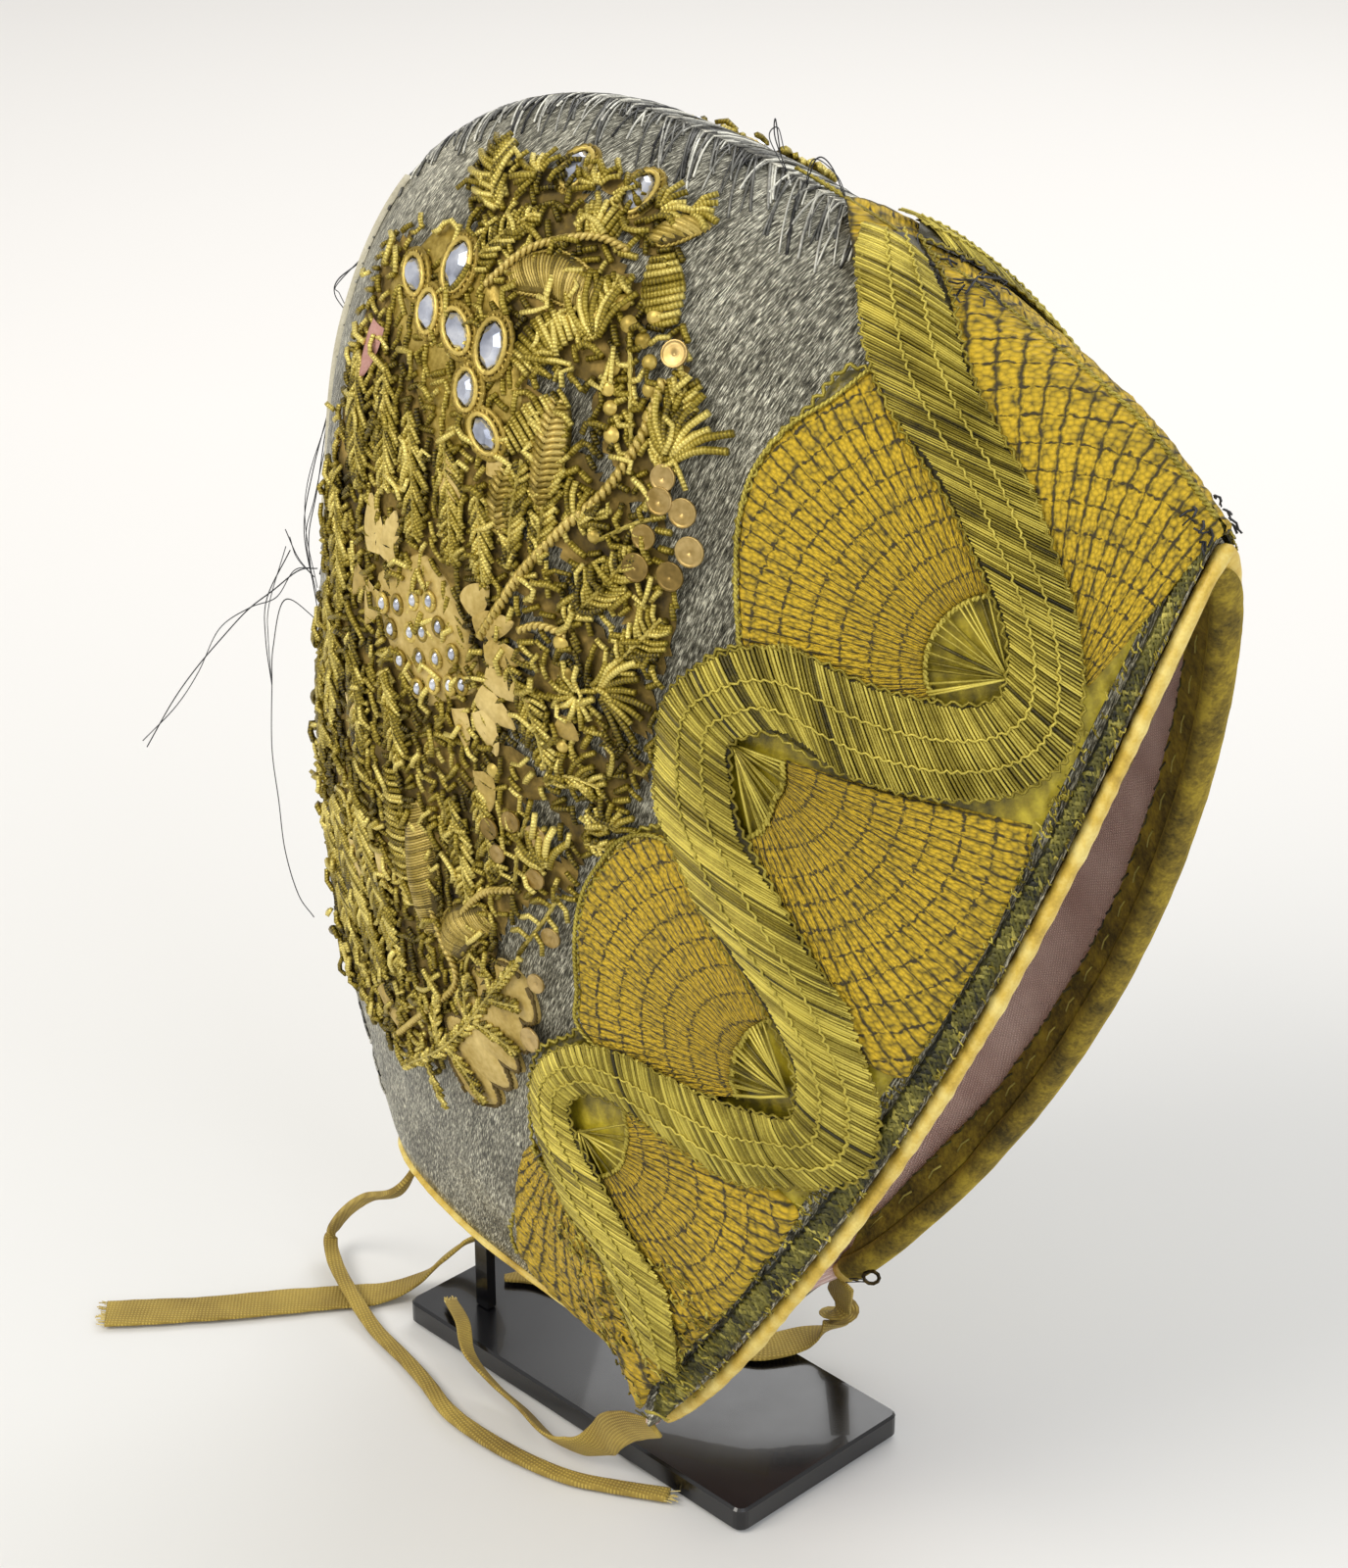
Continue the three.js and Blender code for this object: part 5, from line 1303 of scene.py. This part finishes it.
feather(motifs, [(-86, 96), (-80, 80), (-72, 65)], 9)
feather(motifs, [(-66, 108), (-62, 92), (-54, 76)], 9, radius=0.55)
ladder(motifs, [(-52, 118), (-51, 104), (-49, 92)], 6)
feather(motifs, [(-36, 118), (-34, 108), (-33, 99)], 8)
feather(motifs, [(-29, 122), (-27, 114), (-26, 107)], 7)
for spine, width in [([(-62, 190), (-60, 178), (-58, 168)], 9), ([(-53, 190), (-51, 180), (-50, 170)], 9),
                     ([(-45, 184), (-43, 174), (-42, 164)], 9), ([(-36, 182), (-34, 172), (-33, 162)], 8),
                     ([(-28, 176), (-27, 168), (-26, 160)], 7), ([(-68, 168), (-66, 156), (-66, 144)], 9),
                     ([(-72, 146), (-72, 132), (-74, 120)], 9), ([(-62, 140), (-61, 128), (-62, 118)], 9),
                     ([(-80, 128), (-82, 116), (-84, 106)], 8), ([(-52, 136), (-50, 128), (-49, 120)], 8)]:
    feather(motifs, spine, width, pitch=1.3, lean=40)
layBatch(motifs, "gold_motifs", bullion)

# Cords that outline the stems
cords = newBatch()
for line in ([(-33, 207), (-28, 213), (-23, 216), (-16, 218), (-10, 217)],
             [(-19, 154), (-15, 156), (-10, 156)],
             [(-21, 106), (-28, 103), (-34, 97), (-38, 90)],
             [(-44, 95), (-41, 88), (-38, 81), (-46, 72), (-62, 57)]):
    path, _ = smoothPath(line, 0.3)
    addTwine(cords, path, 0.72, 1.6, 2.3, tint=0.65)
layBatch(cords, "outline_cords", satinThread)


# Ground of short bullion chips, in leaning columns
def inside(polygon, x, z):
    hit = np.zeros(len(x), bool)
    for (x0, z0), (x1, z1) in zip(polygon, polygon[1:] + polygon[:1]):
        crossing = (z0 > z) != (z1 > z)
        hit ^= crossing & (x < (x1 - x0) * (z - z0) / (z1 - z0 + 1e-9) + x0)
    return hit


worked = [(-47, 229), (-45, 219), (-63, 209), (-65, 199), (-70, 178), (-75, 155), (-82, 131), (-94, 102),
          (-88, 79),
          (-86, 60), (-66, 51), (-48, 56), (-38, 72), (-30, 80), (-24, 98), (-9, 109), (-6, 120),
          (5, 135), (7, 150),
          (10, 163), (6, 176), (8, 196), (2, 211), (-5, 225), (-20, 231), (-33, 229)]
bare = [[(-20, 196), (-12, 196), (-8, 186), (-14, 186)], [(-4, 205), (4, 205), (3, 196), (-2, 196)],
        [(-46, 221), (-40, 214), (-46, 209), (-56, 210)], [(-12, 120), (-16, 124), (-20, 118), (-14, 112)]]


def onGround(x, z):
    return inside(worked, x, z) & ~np.any([inside(polygon, x, z) for polygon in bare], axis=0)


chips = newBatch()
for column, x0 in enumerate(np.arange(-96, 12, 2.9), 1):
    z = np.arange(48, 234, 2.0)
    z = z + dice.uniform(-0.5, 0.5, len(z))
    x = x0 + 0.05 * (z - 140) * 0.4 + dice.normal(0, 0.35, len(z))
    keep = onGround(x, z) & (dice.uniform(0, 1, len(z)) < np.where(x < -24, 0.88, 0.72))
    for cx, cz in zip(x[keep], z[keep]):
        angle = 90 + (38 if column % 2 else -38) + 22 * math.sin(cx * 0.13 + cz * 0.09) + dice.normal(0, 24)
        size = dice.uniform(2.2, 3.4)
        start, end = turned(cx, cz, angle, -size / 2), turned(cx, cz, angle, size / 2)
        shade = 0.5 + 0.5 * math.sin(cx * 0.31 + 1.7 * math.sin(cz * 0.17))
        addCoil(chips, [start, (cx, cz), end], dice.uniform(0.48, 0.62), 0.3 + dice.uniform(0, 0.3),
                arch=0.25,
                tint=float(np.clip(0.15 + 0.6 * shade * dice.uniform(0.4, 1.2), 0, 1)))
for k in range(520):
    x, z = dice.uniform(-92, 6), dice.uniform(52, 230)
    if inside(worked, np.array([x]), np.array([z]))[0]:
        angle, bend, size = dice.uniform(0, 360), dice.normal(0, 45), dice.uniform(2.5, 5.5)
        places = [(x, z), turned(x, z, angle, size / 2), turned(x, z, angle + bend, size)]
        addCoil(chips, places, dice.uniform(0.42, 0.6), 0.9 + dice.uniform(0, 0.9), arch=0.5)
layBatch(chips, "bullion_ground", bullion)

# Padding that shows between the chips
padding = newBatch()
step = 1.5
columns, rowsUp = np.arange(-98, 14, step), np.arange(46, 236, step)
gx, gz = (grid.ravel() for grid in np.meshgrid(columns, rowsUp, indexing="ij"))
px, pz = gx + 0.5 * np.sin(gz * 0.9), gz + 0.5 * np.sin(gx * 0.8)
covered = onGround(px, pz)
covered &= ~((px > -22) & (wave(px + 1.3 * pz, 71, 17) > 0.55))
quads = gridQuads(len(columns) - 1, len(rowsUp) - 1)[:, ::-1]
quads = quads[np.all(covered[quads], axis=1)]
lift = 0.32 + 0.1 * wave(px * 2 + pz, 72, 9)
addPiece(padding, np.column_stack([px, pz, lift]), quads, None, None,
         np.clip(0.45 + 0.4 * wave(px + 2.1 * pz, 73, 23), 0, 1))
feltPad = tintedThread("brownedPadding", "#2a200a", "#6b571d", "#b3954a", 0.0, 0.85, 0.9, 0.2)
layBatch(padding, "embroidery_padding", feltPad)
print("embroidery grounds ready")


# Spangles, sequins and small stones
def addDisc(batch, x, z, radius, height, profile, sides=14, tint=0.5):
    turn = np.arange(sides) * 2 * math.pi / sides
    points = [(x, z, height + profile[0][1])]
    for r, h in profile[1:]:
        points += [(x + math.cos(a) * r * radius, z + math.sin(a) * r * radius, height + h) for a in turn]
    tris = [(0, 1 + k, 1 + (k + 1) % sides) for k in range(sides)]
    quads = []
    for ring in range(len(profile) - 2):
        a = 1 + ring * sides
        quads += [(a + k, a + sides + k, a + sides + (k + 1) % sides, a + (k + 1) % sides)
                  for k in range(sides)]
    addPiece(batch, points, quads, tris, None, tint)


spangleShape = [(0, 0.1), (0.12, 0.1), (0.2, 0.3), (0.35, 0.22), (0.45, 0.32), (0.6, 0.24), (0.72, 0.34),
                (0.86, 0.28),
                (0.95, 0.5), (1.0, 0.35), (1.0, 0.0)]
domeShape = [(0, 0.75), (0.35, 0.7), (0.7, 0.45), (0.93, 0.15), (1.0, 0.0)]
spangles = newBatch()
for x, z, radius in [(2, 170, 2.3), (8, 170, 2.3), (11, 174.5, 2.4), (9, 180, 2.3), (5, 181, 2.2),
                     (3, 203, 2.2),
                     (5, 184.5, 2.1), (-26, 116, 2), (-21, 119, 1.9), (-16, 118, 2), (-16, 110, 1.8),
                     (-13, 100, 1.8),
                     (-18, 78, 2.3), (-16, 90, 1.8), (-24, 112, 1.7), (3, 175, 2)]:
    addDisc(spangles, x, z, radius, 1.6 + dice.uniform(0, 0.4), spangleShape, sides=18,
            tint=dice.uniform(0.3, 0.8))
layBatch(spangles, "copper_spangles", copperSpangle)
sequins = newBatch()
for x, z in [(-6, 206), (-3, 204), (-7, 199), (-1, 201), (-7, 196), (0, 197), (-6, 193), (-5, 189),
             (-6, 173),
             (-11, 154), (-11, 136), (-25, 127), (-8, 209), (-2, 208), (-12, 206), (-10, 149), (1, 193)]:
    addDisc(sequins, x, z, dice.uniform(1.1, 1.5), 1.5, domeShape, sides=12, tint=dice.uniform(0.4, 1))
layBatch(sequins, "domed_sequins", giltRim)


def ovalPlaces(x, z, angle, u, v):
    # places u along and v across an oval's long axis, turned about its middle
    a = math.radians(angle)
    return np.stack([x + u * math.cos(a) - v * math.sin(a), z + u * math.sin(a) + v * math.cos(a)], -1)


def addOval(batch, x, z, long, wide, angle, height, profile, sides=14, tint=0.5):
    addDisc(batch, 0, 0, 1.0, height, profile, sides, tint)
    points = batch["points"][-1]
    points[:, :2] = ovalPlaces(x, z, angle, points[:, 0] * long, points[:, 1] * wide)


smallStones = newBatch()
bezels = newBatch()
for x, z in [(-50, 150), (-46, 151), (-42, 153), (-38, 154), (-48, 146), (-43, 147), (-40, 148),
             (-36, 150), (-46, 141),
             (-41, 143), (-37, 144), (-33, 146), (-42, 137), (-38, 139), (-34, 140), (-31, 141)]:
    addOval(smallStones, x, z, 1.25, 0.8, 85, 2.0, domeShape, sides=10)
    turn = np.linspace(0, 2 * math.pi, 15)
    ring = np.stack([x + 1.15 * np.cos(turn), z + 1.6 * np.sin(turn)], -1)
    addTube(bezels, ring, 0.42, 2.0, sides=6, tint=dice.uniform(0.3, 0.9))
layBatch(smallStones, "small_stones", mirrorGlass)
bigStones = [(0.431, 0.095, 1.0, 12, 1), (0.463, 0.096, 0.8, -24, 1), (0.449, 0.122, 0.78, 0, 1),
             (0.426, 0.136, 0.9, -32, 1), (0.402, 0.143, 1.0, 6, 1), (0.417, 0.173, 0.74, 0, 1),
             (0.404, 0.2, 0.8, -38, 1), (0.382, 0.029, 0.86, 0, 0), (0.348, 0.029, 0.92, 8, 0)]
stoneSize = {"long": 7.6, "wide": 4.6, "seats": (-0.15, 1.5)}
for around, down, size, lean, seat in bigStones:
    x, z = toFlat(around, down)
    angle = math.degrees(math.atan2(-z, -x)) - lean
    foot = stoneSize["seats"][seat]
    long, wide = stoneSize["long"] / 2 * size, stoneSize["wide"] / 2 * size
    turn = np.linspace(0, 2 * math.pi, 41)
    for grow, radius, lift, tint in ((0.45, 0.42, 0.75, 0.9), (1.35, 0.5, 0.15, 0.5)):
        ring = ovalPlaces(x, z, angle, (long + grow) * np.cos(turn), (wide + grow) * np.sin(turn))
        addTube(bezels, ring, radius, foot + lift, sides=7, twist=(3, 1.2), tint=tint)
    for b in np.arange(26) * 2 * math.pi / 26:
        place = ovalPlaces(x, z, angle, (long + 0.9) * math.cos(b), (wide + 0.9) * math.sin(b))
        addStrip(bezels, place, place - np.array([x, z]), 0.9, 0.5,
                 lambda t: foot + 0.1 + 0.25 * (1 - t * t), segments=3, tint=dice.uniform(0.2, 0.9))
layBatch(bezels, "gilt_bezels", giltRim)


# Vellum petals and bits that show where the wire has gone
def petal(batch, root, tip, width, height, tint):
    path, travel = smoothPath([root, ((root[0] + tip[0]) / 2, (root[1] + tip[1]) / 2), tip], 0.8)
    _, right = sideways(path)
    half = width / 2 * np.sin(math.pi * (0.3 + 0.7 * travel / travel[-1])) ** 0.8 + 0.05
    offsets = np.array([1, 0.6, 0, -0.6, -1])
    addRibbon(batch, path, right, half[:, None] * offsets, height - 0.5 * offsets ** 4, tint)


bits = newBatch()
for root, tip, width in [((-53, 158), (-54, 168), 6), ((-50, 158), (-47, 167), 5), ((-57, 154),
                         (-60, 148), 4),
                         ((-53, 152), (-56, 144), 5), ((-34, 172), (-35, 180), 5), ((-25, 178),
                         (-24, 186), 4),
                         ((-30, 155), (-25, 160), 5), ((-28, 152), (-20, 155), 5), ((-26, 148),
                         (-18, 149), 5),
                         ((-26, 144), (-17, 142), 5), ((-28, 140), (-20, 136), 5), ((-28, 137),
                         (-24, 130), 5),
                         ((-33, 136), (-31, 129), 4), ((-70, 96), (-68, 88), 5), ((-58, 100), (-57, 92), 4),
                         ((-66, 66), (-60, 60), 5), ((-28, 126), (-26, 119), 5), ((-12, 140), (-8, 138), 4),
                         ((-64, 128), (-62, 120), 4)]:
    petal(bits, root, tip, width, 1.75, dice.uniform(0.4, 0.9))
layBatch(bits, "vellum_petals", vellum)

# Coil veins on the oak leaf, whose lobed edge is drawn with its pad
veins = newBatch()
for spine, width in [([(-59, 52), (-40, 68), (-19, 94)], 4), ([(-41, 66), (-36, 62), (-32, 58)], 5),
                     ([(-50, 60), (-47, 54), (-45, 50)], 4), ([(-33, 75), (-26, 75), (-21, 74)], 5),
                     ([(-28, 82), (-24, 83), (-20, 84)], 4), ([(-44, 65), (-44, 71), (-43, 76)], 4),
                     ([(-35, 74), (-35, 80), (-33, 85)], 4)]:
    feather(veins, spine, width, pitch=1.4, lean=42, radius=0.42, height=1.75)
layBatch(veins, "oak_leaf_veins", bullion)

# Worn strip by the back ridge, and a patch of pink silk
worn = newBatch()
wornRows = [toFlat(*row) for row in [(0.51, 0.012), (0.545, 0.018), (0.585, 0.022), (0.63, 0.024),
                                     (0.68, 0.022)]]
path, travel = smoothPath(wornRows, 0.6)
half = 1.6 * smoothRows([(0.5,), (0.9,), (1,), (1,), (0.5,)], travel / travel[-1])[:, 0]
padBody(worn, path, half, np.zeros(len(path)), 0.6)
wornCloth = layBatch(worn, "worn_cotton", wornCotton, sides=(-1,))
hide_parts("worn_strip")
pink = newBatch()
pinkSilk = tintedThread("fadedPinkSilk", "#6e4a40", "#a8756a", "#cfa399", 0.0, 0.6, 0.6, 0.15)
petal(pink, (-57, 196), (-60, 186), 4.5, 1.9, 0.6)
layBatch(pink, "pink_silk_patch", pinkSilk, sides=(-1,))

# Laid silver threads that start at the ridge, some pale and some black, standing off the cloth
ridgeThreads = newBatch()
for place in np.arange(0.02, 0.97, 0.0013):
    lean = dice.normal(0, 0.004)
    reach = dice.uniform(2, 15)
    shares = np.linspace(-1, 1, 9)
    around = place + lean * shares - 0.012 * np.abs(shares) * reach / 13
    flatLine = flatAt(around, np.interp(around, aroundLine, ribLengths) - reach * np.abs(shares))
    radius = dice.uniform(0.14, 0.28)
    tint = float(np.clip(dice.normal(0.45, 0.32), 0, 1))
    if not inFront(flatLine[0]):
        rise = 0.12 + 0.25 * (1 - np.abs(shares[:5])) + dice.uniform(0, 0.1)
        addTube(ridgeThreads, flatLine[4::-1], radius, rise[::-1], sides=4, tint=tint)
    if not inFront(flatLine[-1]):
        dice.uniform(0, 0.1)  # layBatch lays the same threads on the far side; this keeps the draws in order
strandSilver = tintedThread("laidSilverThread", "#1b1b1c", "#77766f", "#e6e4d6", 0.45, 0.42, 0.4, 0.06)
layBatch(ridgeThreads, "ridge_threads", strandSilver)

# Loose threads that have come away, in millimetres in the row's frame
looseThreads = [
    [(38.4, 19.7, 28.2), (36.8, 19.3, 27.9), (34.8, 18.9, 27.4)],
    [(38.8, 19.9, 27.8), (37, 19.6, 27.2), (34.6, 19.4, 26.8)],
    [(-73, -7, 145), (-81, -8, 148), (-84, -9, 138), (-84, -10, 130), (-84, -11, 117), (-83, -11, 106),
     (-81, -12, 96),
     (-77, -13, 88), (-72, -14, 85)],
    [(-73, -7, 156), (-75, -10, 156), (-79, -13, 152), (-83, -16, 148), (-88, -18, 142), (-93, -21, 135),
     (-97, -24, 128), (-102, -27, 118)],
    [(-74, -7, 154), (-78, -7, 157), (-81, -7, 162)],
    [(-84, -10, 130), (-86, -9, 139), (-86, -8, 147), (-80, -7, 158)],
    [(-59, -7, 210), (-67, -7, 191), (-72, -7, 172), (-75, -7, 160), (-73, -7, 144)],
    [(-60, -9, 206), (-65, -9, 192), (-71, -9, 176), (-74, -9, 164), (-72, -9, 152)],
    [(-50, -8, 225), (-56, -9, 219), (-63, -8, 214), (-64, -8, 211), (-61, -8, 208)],
    [(35, -7, 248), (33, -8, 254), (33, -8, 257), (34, -8, 252)],
    [(38, -7, 246), (41, -8, 252), (44, -8, 251), (47, -7, 244)],
    [(64, -7, 236), (71, -8, 238), (76, -8, 235), (79, -8, 229)],
    [(80, -7, 230), (86, -8, 229), (91, -8, 223), (93, -8, 219)],
]


def threadTube(batch, places, radius, sides=4, tint=0.4):
    fine = smoothRows(places, np.linspace(0, 1, 10 * len(places)))
    along = np.gradient(fine, axis=0)
    along /= np.linalg.norm(along, axis=1, keepdims=True) + 1e-9
    side = np.cross(along, [0.0, 1.0, 0.0])
    side /= np.linalg.norm(side, axis=1, keepdims=True) + 1e-9
    upper = np.cross(side, along)
    turn = np.arange(sides) * 2 * math.pi / sides
    points = (fine[:, None, :] + side[:, None, :] * (radius * np.cos(turn))[None, :, None]
              + upper[:, None, :] * (radius * np.sin(turn))[None, :, None])
    quads, tris = tubeFaces(len(fine), sides)
    addPiece(batch, points.reshape(-1, 3), quads[:, ::-1], tris[:, ::-1], None, tint)


strands = newBatch()
for n, places in enumerate(looseThreads):
    threadTube(strands, places, 0.13, tint=0.3)
    if n not in (1, 2):
        shifted = [(x + 1.1 * math.sin(2 * k + n), y, z + 1.3 * math.cos(1.7 * k))
                   for k, (x, y, z) in enumerate(places)]
        shifted[0] = places[0]
        threadTube(strands, shifted, 0.11, tint=0.6)
layOnce(strands, "loose_threads", darkStrand, [], lambda points: points * mm)

# Frayed ends of the ties
frays = newBatch()
for name in ("nape_tape_flat", "nape_tape_folded", "ear_tape_near"):
    rows = np.array(ties[name]["rows"])
    end, before = rows[-1, :3] * 100, rows[-2, :3] * 100
    ahead = (end - before) / np.linalg.norm(end - before)
    side = np.array([-ahead[1], ahead[0], 0.0])
    wide = ties[name]["width"] * rows[-1, 3] / 2
    for k in range(26 if ties[name]["width"] > 5 else 10):
        w = dice.uniform(-wide, wide)
        length = dice.uniform(0.5, 2.2)
        start = end - ahead * 0.6 + side * w + np.array([0, 0, dice.uniform(-0.2, 0.2)])
        stop = end + ahead * length + side * (w + dice.normal(0, 0.5))
        stop = stop + np.array([0, 0, dice.uniform(-0.1, 0.4)])
        stop[2] = max(stop[2], 0.2)
        threadTube(frays, [start, (start + stop) / 2 + side * 0.1, stop], 0.13, tint=dice.uniform(0.2, 0.9))
layOnce(frays, "frayed_tie_ends", tapeCotton, [], lambda points: points * mm)

# The CAD nodes that stay: stand, stones and ring
keptLooks = {"stand_": blackCoat, "mirror_stone_": mirrorGlass, "ear_loop": agedBrass}
for name, node in nodes.items():
    for start, look in keptLooks.items():
        if name.startswith(start):
            if not node.material_slots:
                node.data.materials.append(look)
            for slot in node.material_slots:
                slot.material = look
print("embroidery ready")
